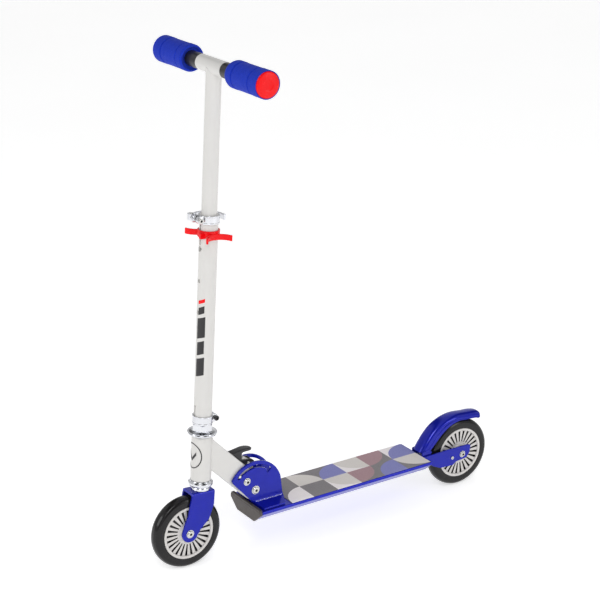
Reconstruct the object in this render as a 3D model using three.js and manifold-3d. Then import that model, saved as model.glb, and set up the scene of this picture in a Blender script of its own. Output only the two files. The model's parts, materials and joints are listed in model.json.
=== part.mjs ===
// A child's folding kick scooter. Millimetres, +X forward, +Y to the rider's left, +Z up.
// The origin is on the floor, midway between the two axles. The scooter stands unfolded,
// steering straight ahead, handlebar at its highest setting.
import * as THREE from 'three';
import { mergeVertices } from 'three/addons/utils/BufferGeometryUtils.js';
import Module from 'manifold-3d';

const wasm = await Module();
wasm.setup();

// ---------------------------------------------------------------- driving dimensions
const WHEELBASE = 562;
const WHEEL_R = 62.5;
const RAKE = THREE.MathUtils.degToRad(3.45);
const FORK_OFFSET = 25.7; // front axle ahead of the steering axis
const AXLE_S = 61.1; // front axle height along the steering axis
const GAP = 0.3; // between pieces that touch

const DECK = { rear: 89, front: 441, top: 80.5, edge: 75.5, bottom: 58.5, halfTop: 46, halfBottom: 26 };
const DECK_WALL = 2.2;
const PIVOT = { x: 436.9, z: 109.6, r: 5 };
const NECK_ANGLE = THREE.MathUtils.degToRad(46);
const NECK = { half: 13, above: 20.9, below: 19, eye: 19.5 };
const STOP = { x: 453.2, z: 128.7, r: 4 };
const GUIDE = { radius: 42.6, angle: 46.6, pinR: 2.5, slotHalf: 2.8, sweep: 84 };
const PLATE = { inner: 14, outer: 18 };
const LEVER_PIN = { x: 444, z: 157.5, r: 2.5 };
const LATCH = { half: 8, boss: 6.3, lugHalf: 5, lugReach: 17 };
const BRAKE_PIN = { x: 80, z: 71, r: 2.5 };
const REAR_PLATE = { inner: 16, outer: 19 };
const CLIP = { bottom: 562.1, top: 573.6, r: 18, cradle: 21.9, wall: 2.8, reach: 33.5 };
const SPOKES = 25;
const WEB = 5; // half the thickness of the web that the wheel's slots stop at

const TUBE = { outer: 15, inner: 12.58, bottom: 248, top: 598 }; // along the steering axis
const BUTTON_S = 542.4;
const SETTING_STEP = 52.3;
const STEM = { outer: 12.5, inner: 10.5, bottom: 420 };
const BAR = { s: 830.5, r: 12.7, bore: 11.22, half: 36 };
const GRIP = { start: 64, end: 150, r: 21.8, cap: 154.5 };
const STEERER = { r: 12.2, bore: 10, top: 285 };
const HEAD = { bottom: 149.3, top: 225.7, r: 17.2, bore: 15 };

// ---------------------------------------------------------------- materials
const paint = (color, roughness, metalness = 0) => new THREE.MeshStandardMaterial({ color, roughness, metalness });
const M = {
  whitePaint: paint(0xd8d7d4, 0.25, 0.1),
  bluePaint: paint(0x2a2cb0, 0.3, 0.3),
  blueDeck: paint(0x2f33b4, 0.35, 0.6),
  gripTape: paint(0x8f8fa8, 0.8),
  darkPlastic: paint(0x5c5650, 0.5),
  blackPlastic: paint(0x17171a, 0.35),
  foam: paint(0x2032b4, 0.85),
  redPlastic: paint(0xe8241f, 0.3),
  chrome: paint(0xd0d2d6, 0.12, 1),
  steel: paint(0xb8babd, 0.35, 0.9),
  tyre: paint(0x2b2a2c, 0.35),
  wheelCore: paint(0xe9e4de, 0.4),
};

// ---------------------------------------------------------------- solids
function toSolid(geometry) {
  const bare = geometry.index ? geometry.toNonIndexed() : geometry.clone();
  for (const name of Object.keys(bare.attributes)) if (name !== 'position') bare.deleteAttribute(name);
  const merged = mergeVertices(bare, 1e-4);
  const at = merged.attributes.position;
  const index = merged.index.array;
  const triangles = [];
  for (let i = 0; i < index.length; i += 3) {
    const [a, b, c] = [index[i], index[i + 1], index[i + 2]];
    if (a !== b && b !== c && c !== a) triangles.push(a, b, c);
  }
  const corner = (i) => new THREE.Vector3().fromBufferAttribute(at, i);
  let volume = 0;
  for (let i = 0; i < triangles.length; i += 3) {
    volume += corner(triangles[i]).dot(corner(triangles[i + 1]).cross(corner(triangles[i + 2])));
  }
  if (volume < 0) {
    for (let i = 0; i < triangles.length; i += 3) {
      [triangles[i + 1], triangles[i + 2]] = [triangles[i + 2], triangles[i + 1]];
    }
  }
  return new wasm.Manifold(new wasm.Mesh({
    numProp: 3, vertProperties: new Float32Array(at.array), triVerts: new Uint32Array(triangles),
  }));
}

function toGeometry(solid) {
  const mesh = solid.getMesh();
  const geometry = new THREE.BufferGeometry();
  geometry.setAttribute('position', new THREE.BufferAttribute(new Float32Array(mesh.vertProperties), 3));
  geometry.setIndex(Array.from(mesh.triVerts));
  geometry.computeVertexNormals();
  return geometry;
}

const join = (...geometries) => toGeometry(geometries.map(toSolid).reduce((a, b) => a.add(b)));
const cut = (geometry, ...tools) => toGeometry(tools.map(toSolid).reduce((a, b) => a.subtract(b), toSolid(geometry)));
const common = (a, b) => toGeometry(toSolid(a).intersect(toSolid(b)));

// A closed outline: each point is [a, b] or [a, b, cornerRadius].
function outline(points) {
  const shape = new THREE.Shape();
  points.forEach(([a, b, radius = 0], i) => {
    const here = new THREE.Vector2(a, b);
    const before = points[(i + points.length - 1) % points.length];
    const after = points[(i + 1) % points.length];
    const back = new THREE.Vector2(before[0], before[1]).sub(here);
    const ahead = new THREE.Vector2(after[0], after[1]).sub(here);
    const enter = here.clone().addScaledVector(back.clone().normalize(), Math.min(radius, back.length() / 2));
    const leave = here.clone().addScaledVector(ahead.clone().normalize(), Math.min(radius, ahead.length() / 2));
    if (i === 0) shape.moveTo(enter.x, enter.y);
    else shape.lineTo(enter.x, enter.y);
    if (radius > 0) shape.quadraticCurveTo(a, b, leave.x, leave.y);
  });
  return shape;
}

function circle(a, b, r) {
  const shape = new THREE.Shape();
  shape.absarc(a, b, r, 0, 2 * Math.PI, false);
  return shape;
}

// The shape drawn by points only, without repeats where its arcs and lines meet.
function pointed(shape, segments) {
  const distinct = (path) => path.getPoints(segments).filter((p, i, all) => p.distanceTo(all.at(i - 1)) > 1e-3);
  const clean = new THREE.Shape(distinct(shape));
  clean.holes = shape.holes.map((hole) => new THREE.Path(distinct(hole)));
  return clean;
}

const extrude = (shape, depth, segments) =>
  new THREE.ExtrudeGeometry(pointed(shape, segments), { depth, bevelEnabled: false });
// An outline in X and Z, from y0 to y1.
const slabY = (shape, y0, y1, segments = 4) =>
  extrude(shape, y1 - y0, segments).rotateX(Math.PI / 2).translate(0, y1, 0);
// An outline in X and Y, from z0 to z1.
const slabZ = (shape, z0, z1, segments = 4) => extrude(shape, z1 - z0, segments).translate(0, 0, z0);
// An outline in Y and Z, from x0 to x1.
function slabX(shape, x0, x1, segments = 4) {
  const turn = new THREE.Matrix4().makeBasis(
    new THREE.Vector3(0, 1, 0), new THREE.Vector3(0, 0, 1), new THREE.Vector3(1, 0, 0));
  return extrude(shape, x1 - x0, segments).applyMatrix4(turn).translate(x0, 0, 0);
}

function box(x0, x1, y0, y1, z0, z1) {
  return new THREE.BoxGeometry(x1 - x0, y1 - y0, z1 - z0).translate((x0 + x1) / 2, (y0 + y1) / 2, (z0 + z1) / 2);
}

// A closed profile of [radius, height] points turned about Z.
function turned(profile, segments = 28) {
  const points = [...profile, profile[0]].map(([r, h]) => new THREE.Vector2(r, h));
  return new THREE.LatheGeometry(points, segments).rotateX(Math.PI / 2);
}
const ring = (inner, outer, low, high, segments = 28) =>
  turned([[inner, low], [outer, low], [outer, high], [inner, high]], segments);
const rod = (r, low, high, segments = 24) => turned([[0, low], [r, low], [r, high], [0, high]], segments);
// Turned shapes laid along Y: heights become +Y (side 1) or -Y (side -1).
const alongY = (geometry, side = 1) => geometry.rotateX(-side * Math.PI / 2);
const rodY = (r, x, z, y0, y1, segments = 24) => alongY(rod(r, y0, y1, segments)).translate(x, 0, z);
const ringY = (inner, outer, x, z, y0, y1, segments = 24) =>
  alongY(ring(inner, outer, y0, y1, segments)).translate(x, 0, z);

// A screw along Y: shaft to the tip, and a domed head with a socket, its outer face at `head`.
function screwY({ x, z, r, headR, from, head, headDepth = 3, socketR = 2.2, segments = 16 }) {
  const under = head - Math.sign(head - from) * headDepth;
  const side = Math.sign(head - from);
  const profile = [
    [0, from * side], [r, from * side], [r, under * side], [headR, under * side],
    [headR - 0.8, head * side], [socketR, head * side], [socketR, head * side - 1.8], [0, head * side - 1.8],
  ];
  return alongY(turned(profile, segments), side).translate(x, 0, z);
}

function hexagon(flats, bore, x = 0, z = 0) {
  const corners = Array.from({ length: 6 }, (_, i) => polar(flats / Math.sqrt(3), 60 * i, x, z));
  const shape = outline(corners);
  shape.holes.push(circle(x, z, bore));
  return shape;
}
const hexNutY = ({ x, z, bore, flats, from, to }) => slabY(hexagon(flats, bore, x, z), from, to, 12);

// Loops of equal length joined into a skin, with flat ends.
function loft(loops, flatten) {
  const n = loops[0].length;
  const position = loops.flat().flatMap((p) => [p.x, p.y, p.z]);
  const index = [];
  for (let i = 0; i + 1 < loops.length; i += 1) {
    for (let k = 0; k < n; k += 1) {
      const a = i * n + k;
      const b = i * n + (k + 1) % n;
      index.push(a, b, a + n, b, b + n, a + n);
    }
  }
  const last = (loops.length - 1) * n;
  for (const [a, b, c] of THREE.ShapeUtils.triangulateShape(loops[0].map(flatten), [])) index.push(a, c, b);
  for (const [a, b, c] of THREE.ShapeUtils.triangulateShape(loops.at(-1).map(flatten), [])) {
    index.push(last + a, last + b, last + c);
  }
  const geometry = new THREE.BufferGeometry();
  geometry.setAttribute('position', new THREE.BufferAttribute(new Float32Array(position), 3));
  geometry.setIndex(index);
  return geometry;
}

const polar = (r, degrees, x = 0, z = 0) => {
  const a = THREE.MathUtils.degToRad(degrees);
  return [x + r * Math.cos(a), z + r * Math.sin(a)];
};

// ---------------------------------------------------------------- scene graph
// `frame` has its origin on the floor under the rear axle; `column` stands on the steering axis.
const group = new THREE.Group();
const frame = new THREE.Group();
frame.position.x = -WHEELBASE / 2;
group.add(frame);
const column = new THREE.Group();
column.position.x = WHEELBASE - (FORK_OFFSET - WHEEL_R * Math.sin(RAKE)) / Math.cos(RAKE);
column.rotation.y = -RAKE;
frame.add(column);
column.updateMatrix();

function add(parent, name, geometry, material) {
  const mesh = new THREE.Mesh(geometry.index ? geometry : toGeometry(toSolid(geometry)), material);
  mesh.name = name;
  parent.add(mesh);
}
const solid = (geometry) => toGeometry(toSolid(geometry));

// ---------------------------------------------------------------- deck
function deckSection(inset) {
  const slope = inset * 0.62;
  return outline([
    [-DECK.halfTop + inset, DECK.top - inset], [-DECK.halfTop + inset, DECK.edge + slope],
    [-DECK.halfBottom + slope, DECK.bottom + inset], [DECK.halfBottom - slope, DECK.bottom + inset],
    [DECK.halfTop - inset, DECK.edge + slope], [DECK.halfTop - inset, DECK.top - inset],
  ]);
}

function addDeck() {
  const section = deckSection(0);
  section.holes.push(deckSection(DECK_WALL));
  add(frame, 'deck', solid(slabX(section, DECK.rear, DECK.front)), M.blueDeck);
  const tapeTop = DECK.top + GAP + 0.8;
  add(frame, 'grip_tape', box(92, 381.5, -44.8, 44.8, DECK.top + GAP, tapeTop), M.gripTape);

  const nose = deckSection(-1);
  const [back, front] = [DECK.front + GAP, DECK.front + 6];
  const lip = box(back, front, -45.5, 45.5, DECK.top, 83.4);
  const ribs = [back + 0.8, front - 0.8].map((x) => box(x - 0.8, x + 0.8, -44, 44, 83, 84.4));
  const cap = join(slabX(nose, back, front), lip, ...ribs);
  add(frame, 'deck_front_cap', cap, M.darkPlastic);
}

// ---------------------------------------------------------------- fold bracket
function addFoldBracket() {
  // the cheek is round about the fold pivot, with a straight front edge and a foot below
  const cheek = new THREE.Shape();
  cheek.moveTo(383, 84);
  cheek.lineTo(384.5, 110);
  cheek.absarc(PIVOT.x, PIVOT.z, 51.5, THREE.MathUtils.degToRad(166), THREE.MathUtils.degToRad(34), true);
  cheek.lineTo(...[481, 133]);
  cheek.lineTo(439, 84);
  const [start, end] = [GUIDE.angle - 4.5, GUIDE.angle + GUIDE.sweep + 4.5];
  const slot = new THREE.Path();
  const rad = THREE.MathUtils.degToRad;
  slot.absarc(PIVOT.x, PIVOT.z, GUIDE.radius + GUIDE.slotHalf, rad(start), rad(end), false);
  slot.lineTo(...polar(GUIDE.radius - 8, end, PIVOT.x, PIVOT.z));
  slot.lineTo(...polar(GUIDE.radius - 8, end - 8, PIVOT.x, PIVOT.z));
  slot.lineTo(...polar(GUIDE.radius - GUIDE.slotHalf, end - 8, PIVOT.x, PIVOT.z));
  slot.absarc(PIVOT.x, PIVOT.z, GUIDE.radius - GUIDE.slotHalf, rad(end - 9), rad(start), true);
  slot.closePath();
  cheek.holes.push(slot);

  const foot = outline([
    [PLATE.inner, 84], [PLATE.inner, 90], [PLATE.outer, 90], [PLATE.outer + 3, 86.5, 2],
    [41.5, 84.6], [41.5, DECK.top + GAP], [PLATE.outer, DECK.top + GAP],
  ]);
  const footPlan = outline([[383, 10], [439, 10], [439, 20], [435.5, 42.5, 3], [394, 42.5, 3], [384, 20]]);
  for (const [name, side] of [['left', 1], ['right', -1]]) {
    const plate = slabY(cheek, PLATE.inner, PLATE.outer, 20);
    const skirt = common(slabX(foot, 380, 442), slabZ(footPlan, 80, 92));
    const holes = [rodY(PIVOT.r + GAP, PIVOT.x, PIVOT.z, 10, 22), rodY(STOP.r + GAP, STOP.x, STOP.z, 10, 22)];
    const left = cut(join(plate, skirt), ...holes);
    add(frame, `fold_plate_${name}`, side === 1 ? left : mirrored(left), M.bluePaint);
  }
  const bolts = [['fold_pivot', PIVOT], ['fold_stop', STOP]];
  for (const [name, at] of bolts) {
    const reach = { ...at, headR: at.r + 1.2, from: -23.5, head: PLATE.outer + GAP + 3, segments: 24 };
    add(frame, `${name}_bolt`, screwY(reach), M.steel);
    const nut = { x: at.x, z: at.z, bore: at.r + GAP, flats: 2 * at.r + 4.5, from: -23, to: -PLATE.outer - GAP };
    add(frame, `${name}_nut`, solid(hexNutY(nut)), M.steel);
  }
}

// The same shape on the other side of the middle plane.
function mirrored(geometry) {
  return solid(geometry.clone().scale(1, -1, 1));
}

// ---------------------------------------------------------------- rear fork, axle and brake
function addRearEnd() {
  const arm = [
    [118, 61.2], [118, 77.6], [88, 77.6], [40, 78.6], [-13, 77.9, 3], [-18.5, 75.8, 3], [-16.5, 62, 3],
    [-9, 53.2, 3], [13, 51.2, 3], [21, 46, 3], [49, 47.4, 4], [64, 54.4, 3], [74, 61.2, 3],
  ];
  for (const [name, side] of [['left', 1], ['right', -1]]) {
    const plate = slabY(outline(arm), REAR_PLATE.inner, REAR_PLATE.outer, 4);
    const holes = [rodY(4 + GAP, 0, WHEEL_R, 10, 22), rodY(2 + GAP, 23, 60.9, 10, 22)];
    const pinDepth = side === 1 ? 17.9 : 22;
    const left = cut(plate, ...holes, rodY(BRAKE_PIN.r + GAP, BRAKE_PIN.x, BRAKE_PIN.z, 10, pinDepth));
    add(frame, `rear_fork_${name}`, side === 1 ? left : mirrored(left), M.bluePaint);
    const rivet = screwY({ x: 23, z: 60.9, r: 2, headR: 3.1, from: 14.6, head: 20.8, headDepth: 1.5, socketR: 1.2 });
    add(frame, `rear_fork_screw_${name}`, side === 1 ? rivet : mirrored(rivet), M.steel);
  }
  addAxle('rear', frame, 0, WHEEL_R, REAR_PLATE, 4.9);

  add(frame, 'brake_pin', rodY(BRAKE_PIN.r, BRAKE_PIN.x, BRAKE_PIN.z, -24, 17.6), M.steel);
  add(frame, 'brake_spring', solid(ringY(BRAKE_PIN.r + 0.4, 4.6, BRAKE_PIN.x, BRAKE_PIN.z, -9, 9, 18)), M.steel);
  add(frame, 'brake_fender', brakeFender(), M.bluePaint);
}

// The fender is a channel over the wheel; each station gives its angle about the axle,
// the crest radius and the radius of the side walls' lower edge.
function brakeFender() {
  const stations = [
    [15, 92, 76], [24, 88.6, 70], [36, 85.6, 65.5], [48, 83.6, 65], [60, 81.2, 65], [72, 79, 65.2],
    [84, 77, 65.4], [96, 75.4, 65.2], [106, 75.6, 65.2], [116, 76.6, 66], [126, 78.2, 68.5],
  ];
  const half = 15.5;
  const wall = 2;
  const loops = stations.map(([degrees, crest, edge]) => {
    const arch = (w, top) => {
      const side = [];
      for (const a of [0, 30, 60, 90, 120, 150, 180]) {
        const turn = THREE.MathUtils.degToRad(a);
        side.push([w * Math.cos(turn), top - 9 + 9 * Math.sin(turn)]);
      }
      return side;
    };
    const outside = [[half, edge], ...arch(half, crest), [-half, edge]];
    const inside = [[-half + wall, edge], ...arch(half - wall, crest - wall).reverse(), [half - wall, edge]];
    return [...outside, ...inside].map(([y, r]) => {
      const [x, z] = polar(r, degrees, 0, WHEEL_R);
      return new THREE.Vector3(x, y, z);
    });
  });
  const flatten = (p) => new THREE.Vector2(p.y, Math.hypot(p.x, p.z - WHEEL_R));
  const lug = outline([[88, 84.5], [74, 88], [66, 82], [72.5, 67, 4], [80, 64.5, 5], [86.8, 67, 4]]);
  const lugs = [slabY(lug, half - wall, half), slabY(lug, -half, -half + wall)];
  const shell = join(loft(loops, flatten), ...lugs);
  return cut(shell, rodY(BRAKE_PIN.r + 0.07, BRAKE_PIN.x, BRAKE_PIN.z, -20, 20));
}

// ---------------------------------------------------------------- wheels
function addAxle(name, parent, x, z, fork, headR) {
  const head = fork.outer + GAP + 2.4;
  add(parent, `${name}_axle_bolt`,
    screwY({ x, z, r: 4, headR, from: -fork.outer - 5.5, head, headDepth: 2.4, segments: 24 }), M.steel);
  add(parent, `${name}_axle_nut`,
    solid(hexNutY({ x, z, bore: 4 + GAP, flats: 13, from: -fork.outer - 5, to: -fork.outer - GAP })), M.steel);
}

function addWheel(name, parent, x, z) {
  const tread = [
    [46.1, -11], [55, -11.2], [60.2, -8.4], [WHEEL_R, -2.6], [WHEEL_R, 2.6], [60.2, 8.4], [55, 11.2], [46.1, 11],
    [46.1, 7], [43.4, 7], [43.4, -7], [46.1, -7],
  ];
  add(parent, `${name}_tyre`, solid(alongY(turned(tread, 40)).translate(x, 0, z)), M.tyre);

  const body = [
    [11.4, -12], [14.5, -12], [15.5, -9.4], [41.4, -9.4], [42, -11.2], [45.7, -11.2], [45.7, -7.2], [43.1, -7.2],
    [43.1, 7.2], [45.7, 7.2], [45.7, 11.2], [42, 11.2], [41.4, 9.4], [15.5, 9.4], [14.5, 12], [11.4, 12],
  ];
  const core = alongY(turned(body, 25));
  const slot = () => outline([[20, -0.9], [40.5, -1.8], [40.5, 1.8], [20, 0.9]]);
  const slots = [[WEB, 13], [-13, -WEB]].flatMap(([low, high]) => Array.from({ length: SPOKES }, (_, i) => (
    slabY(slot(), low, high).rotateY(i * 2 * Math.PI / SPOKES)
  )));
  add(parent, `${name}_wheel_core`, cut(core, ...slots).translate(x, 0, z), M.wheelCore);
  for (const [side, y0, y1] of [['left', 5, 12], ['right', -12, -5]]) {
    add(parent, `${name}_bearing_${side}`, solid(ringY(4.08, 11, x, z, y0, y1)), M.steel);
  }
}

// ---------------------------------------------------------------- neck and head
function addNeck() {
  const along = new THREE.Vector2(Math.cos(NECK_ANGLE), Math.sin(NECK_ANGLE));
  const up = new THREE.Vector2(-along.y, along.x);
  const at = (a, b) => [PIVOT.x + a * along.x + b * up.x, PIVOT.z + a * along.y + b * up.y];
  const eyeEnd = Math.sqrt(NECK.eye ** 2 - NECK.below ** 2);
  const neck = new THREE.Shape();
  neck.moveTo(...at(eyeEnd, -NECK.below));
  neck.lineTo(...at(96, -NECK.below));
  neck.quadraticCurveTo(...at(103, -NECK.below), 527, 155);
  neck.lineTo(540, 155);
  neck.lineTo(528, 230);
  neck.lineTo(...at(140, NECK.above));
  neck.lineTo(...at(4, NECK.above));
  const eyeStart = NECK_ANGLE + THREE.MathUtils.degToRad(105);
  neck.absarc(PIVOT.x, PIVOT.z, NECK.eye, eyeStart, NECK_ANGLE - Math.acos(eyeEnd / NECK.eye) + 2 * Math.PI, false);

  const notch = new THREE.Shape();
  const [start, end] = [THREE.MathUtils.degToRad(-48), Math.atan2(STOP.z - PIVOT.z, STOP.x - PIVOT.x)];
  const track = Math.hypot(STOP.x - PIVOT.x, STOP.z - PIVOT.z);
  notch.absarc(PIVOT.x, PIVOT.z, track + STOP.r + 0.5, start, end, false);
  notch.absarc(STOP.x, STOP.z, STOP.r + 0.5, end, end + Math.PI, false);
  notch.absarc(PIVOT.x, PIVOT.z, track - STOP.r - 0.5, end, start, true);

  // a lug on top of the neck holds the pin of the latch lever, which straddles it
  const byPin = (dx, dz, radius) => [LEVER_PIN.x + dx, LEVER_PIN.z + dz, radius];
  const lug = outline([
    byPin(-12.5, -21.5), byPin(-9.4, -1.1, 4), byPin(8.3, 12.7, 3), byPin(14, 3), byPin(2, -14.5),
  ]);
  const headTube = turned([[0, 140], [HEAD.r + GAP, 140], [HEAD.r + GAP, 232], [0, 232]], 32)
    .applyMatrix4(column.matrix);
  const [pinX, pinZ] = polar(GUIDE.radius, GUIDE.angle, PIVOT.x, PIVOT.z);
  const solidNeck = cut(
    join(slabY(neck, -NECK.half, NECK.half, 14), slabY(lug, -LATCH.lugHalf, LATCH.lugHalf)),
    headTube, slabY(notch, -20, 20, 14), rodY(PIVOT.r + 0.08, PIVOT.x, PIVOT.z, -20, 20),
    rodY(GUIDE.pinR + GAP, pinX, pinZ, -20, 20), rodY(LEVER_PIN.r + GAP, LEVER_PIN.x, LEVER_PIN.z, -20, 20),
  );
  add(frame, 'neck', solidNeck, M.whitePaint);
  add(frame, 'fold_guide_pin', rodY(GUIDE.pinR, pinX, pinZ, -17.6, 17.6), M.steel);
  add(frame, 'latch_pin', rodY(LEVER_PIN.r, LEVER_PIN.x, LEVER_PIN.z, -8.6, 8.6), M.steel);

  const onNeck = NECK.above + 0.9;
  const boss = [235, 260, 290, 316].map((angle) => polar(LATCH.boss, angle, LEVER_PIN.x, LEVER_PIN.z));
  const leg = outline([
    at(72, onNeck), [462, 178], [455.5, 176.8], [457.4, 172, 3], byPin(12.6, 8.3, 3), byPin(4, 6.5, 4),
    byPin(-6, 5.7, 4), byPin(-11.4, 1.1, 3.5), byPin(-12.2, -5.1, 3), ...boss,
  ]);
  const paddle = outline([
    [...at(76.8, onNeck), 1], [459, 183.4, 10], [447.5, 183.6, 8], [434.6, 181.6, 2.4], [434.8, 176.8, 2.4],
    [447, 178.2, 4], [454, 177.6, 3], [458, 173.4], at(66, onNeck),
  ]);
  const tongue = Array.from({ length: 13 }, (_, i) => {
    const angle = (i / 12 - 0.5) * Math.PI;
    return [449 - 15 * Math.cos(angle), LATCH.half * Math.sin(angle)];
  });
  const blade = common(
    slabY(paddle, -LATCH.half, LATCH.half),
    slabZ(outline([[480, LATCH.half], [480, -LATCH.half], ...tongue]), 150, 200),
  );
  const latch = cut(
    join(slabY(leg, -LATCH.half, LATCH.half), blade),
    rodY(LATCH.lugReach + 0.5, LEVER_PIN.x, LEVER_PIN.z, -LATCH.lugHalf - 0.4, LATCH.lugHalf + 0.4),
    rodY(LEVER_PIN.r + 0.08, LEVER_PIN.x, LEVER_PIN.z, -20, 20),
  );
  add(frame, 'latch_lever', latch, M.blackPlastic);
}

function addHead() {
  add(column, 'head_tube', solid(ring(HEAD.bore, HEAD.r, HEAD.bottom, HEAD.top, 32)), M.whitePaint);
  // a plain oval ring wrapped round the front of the tube
  const oval = (across, up) => rod(1, 0, 40, 36).rotateY(Math.PI / 2).scale(1, across, up).translate(0, 0, 193.5);
  const badge = cut(common(ring(HEAD.r + GAP, HEAD.r + 0.7, 160, 226, 48), oval(15.6, 22.2)), oval(14.2, 20.4));
  add(column, 'head_badge', badge, M.darkPlastic);
  add(column, 'headset_upper_cup', solid(turned([
    [STEERER.r + 0.08, 226], [17.6, 226], [24.3, 230], [24.8, 232], [24.3, 234.6], [STEERER.r + 0.08, 235.6],
  ], 32)), M.chrome);
  add(column, 'headset_lower_cup', solid(turned([
    [STEERER.r + 0.08, 139.6], [20.2, 139.6], [20.5, 145], [18.2, 149], [STEERER.r + 0.08, 149],
  ], 32)), M.chrome);
}

// ---------------------------------------------------------------- fork and steering tube
function addFork() {
  const leg = new THREE.Shape();
  leg.moveTo(-18.6, 131.5);
  leg.lineTo(-17.8, 106);
  leg.quadraticCurveTo(-16, 91, -9, 81);
  leg.lineTo(6.5, 65);
  leg.lineTo(13.4, 53.2);
  leg.absarc(FORK_OFFSET, AXLE_S, 14.7, THREE.MathUtils.degToRad(213), THREE.MathUtils.degToRad(375), false);
  leg.quadraticCurveTo(36, 75.5, 31.5, 88);
  leg.quadraticCurveTo(28, 98, 27.6, 108);
  leg.lineTo(23.2, 131.5);
  const crown = slabY(leg, -15.7, 15.7, 12);
  const inside = box(-40, 60, -12.7, 12.7, 20, 127);
  const fork = cut(crown, inside, rodY(4 + GAP, FORK_OFFSET, AXLE_S, -30, 30));
  add(column, 'fork', fork, M.bluePaint);
  add(column, 'steerer', solid(ring(STEERER.bore, STEERER.r, 131.8, STEERER.top, 28)), M.steel);
  add(column, 'crown_race', solid(turned([[13, 131.8], [16, 131.8], [15.4, 135.5], [13.2, 139.3], [13, 139.3]], 28)),
    M.chrome);
  addAxle('front', column, FORK_OFFSET, AXLE_S, { outer: 15.7 }, 5.9);

  add(column, 'headset_locknut', solid(slabZ(hexagon(31, 13), 236, 247.6, 14)), M.chrome);
}

// A split ring round the tube with two ears, which a screw along Y pulls together.
function clampCollar(low, high, facing) {
  const ears = box(13, 26, -8, 8, low, high);
  const slit = box(8, 40, -1.3, 1.3, low - 1, high + 1);
  const inside = rod(TUBE.outer + GAP, low - 1, high + 1, 32);
  const screwHole = rodY(2.5 + GAP, 20.5, (low + high) / 2, -20, 20);
  const collar = cut(join(ring(TUBE.outer + GAP, 17.3, low, high, 32), ears), inside, slit, screwHole);
  return facing === 1 ? collar : solid(collar.clone().scale(-1, 1, 1));
}

function addSteeringTube() {
  const slit = (low, high, width) => box(5, 30, -width / 2, width / 2, low, high);
  const hole = (s, r) => rod(r, 5, 30, 18).rotateY(Math.PI / 2).translate(0, 0, s);
  const tube = cut(
    ring(TUBE.inner, TUBE.outer, TUBE.bottom, TUBE.top, 36),
    slit(551, 610, 2), slit(240, 278.4, 2.6), hole(BUTTON_S, 3.6),
    hole(BUTTON_S - SETTING_STEP, 3.6), hole(BUTTON_S - 2 * SETTING_STEP, 3.6),
  );
  add(column, 'steering_tube', tube, M.whitePaint);

  add(column, 'lower_clamp', clampCollar(248.2, 262, -1), M.chrome);
  const lowScrew = { x: -20.5, z: 255.1, r: 2.5, headR: 4.2, from: -8, head: 11.8, headDepth: 3.5 };
  add(column, 'lower_clamp_screw', screwY(lowScrew), M.steel);

  // the clip: a ring on the tube with a shallow cradle on each side for a pulled-out grip
  const outside = CLIP.cradle + CLIP.wall;
  const cradles = [1, -1].map((side) => cut(
    ring(CLIP.cradle, outside, CLIP.bottom - 2.3, CLIP.top - 4.2, 48).translate(0, side * (outside + 16.2), 0),
    side === 1 ? box(-40, 40, CLIP.reach, 90, 550, 590) : box(-40, 40, -90, -CLIP.reach, 550, 590),
  ));
  const clip = cut(
    join(ring(TUBE.outer + GAP, CLIP.r, CLIP.bottom, CLIP.top, 32), ...cradles, box(14, 20.5, 5, 11.5, 564, 571)),
    rod(TUBE.outer + GAP, 550, 590, 32),
  );
  add(column, 'grip_clip', clip, M.redPlastic);

  add(column, 'top_clamp', clampCollar(584, 597.8, 1), M.chrome);
  const topScrew = { x: 20.5, z: 590.9, r: 2.5, headR: 4.2, from: -12.8, head: 12.2, headDepth: 3.9 };
  add(column, 'top_clamp_screw', screwY(topScrew), M.steel);
  const saddle = ringY(2.5 + GAP, 7.2, 20.5, 590.9, -12.6, -8.3);
  add(column, 'top_clamp_saddle', cut(saddle, rod(17.6, 580, 600, 32)), M.chrome);
  addClampLever();
}

// The lever's cam turns about a pin along the tube; its arm wraps round the far side of the tube.
function addClampLever() {
  const rad = THREE.MathUtils.degToRad;
  const arm = new THREE.Shape();
  arm.absarc(0, -2, 27.6, rad(-46), rad(-190), true);
  arm.lineTo(-24, 5.6);
  arm.absarc(0, -2, 24, rad(-193), rad(-46), false);
  const cam = rod(6.4, 585.6, 596.2).translate(20.5, -20, 0);
  const bore = rod(3.08, 580, 600).translate(20.5, -20, 0);
  const lever = cut(join(cam, slabZ(arm, 586.2, 595.6, 14)), bore);
  add(column, 'clamp_lever', lever, M.chrome);
  add(column, 'clamp_lever_pin', solid(rod(3, 584.8, 597).translate(20.5, -20, 0)), M.steel);
}

// ---------------------------------------------------------------- handlebar
function addHandlebar() {
  const button = rod(3.4, 5, 30, 18).rotateY(Math.PI / 2).translate(0, 0, BUTTON_S);
  const crossR = BAR.r + GAP;
  const stem = cut(ring(STEM.inner, STEM.outer, STEM.bottom, BAR.s, 32), button,
    alongY(rod(crossR, -60, 60, 32)).translate(0, 0, BAR.s));
  add(column, 'stem', stem, M.whitePaint);
  const cross = alongY(ring(BAR.bore, BAR.r, -BAR.half, BAR.half, 32)).translate(0, 0, BAR.s);
  add(column, 'crossbar', cross, M.whitePaint);
  add(column, 'height_button',
    solid(turned([[0, 8], [3.2, 8], [3.2, 11.9], [0, 12.4]], 18).rotateY(Math.PI / 2).translate(0, 0, BUTTON_S)),
    M.steel);
}

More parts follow.
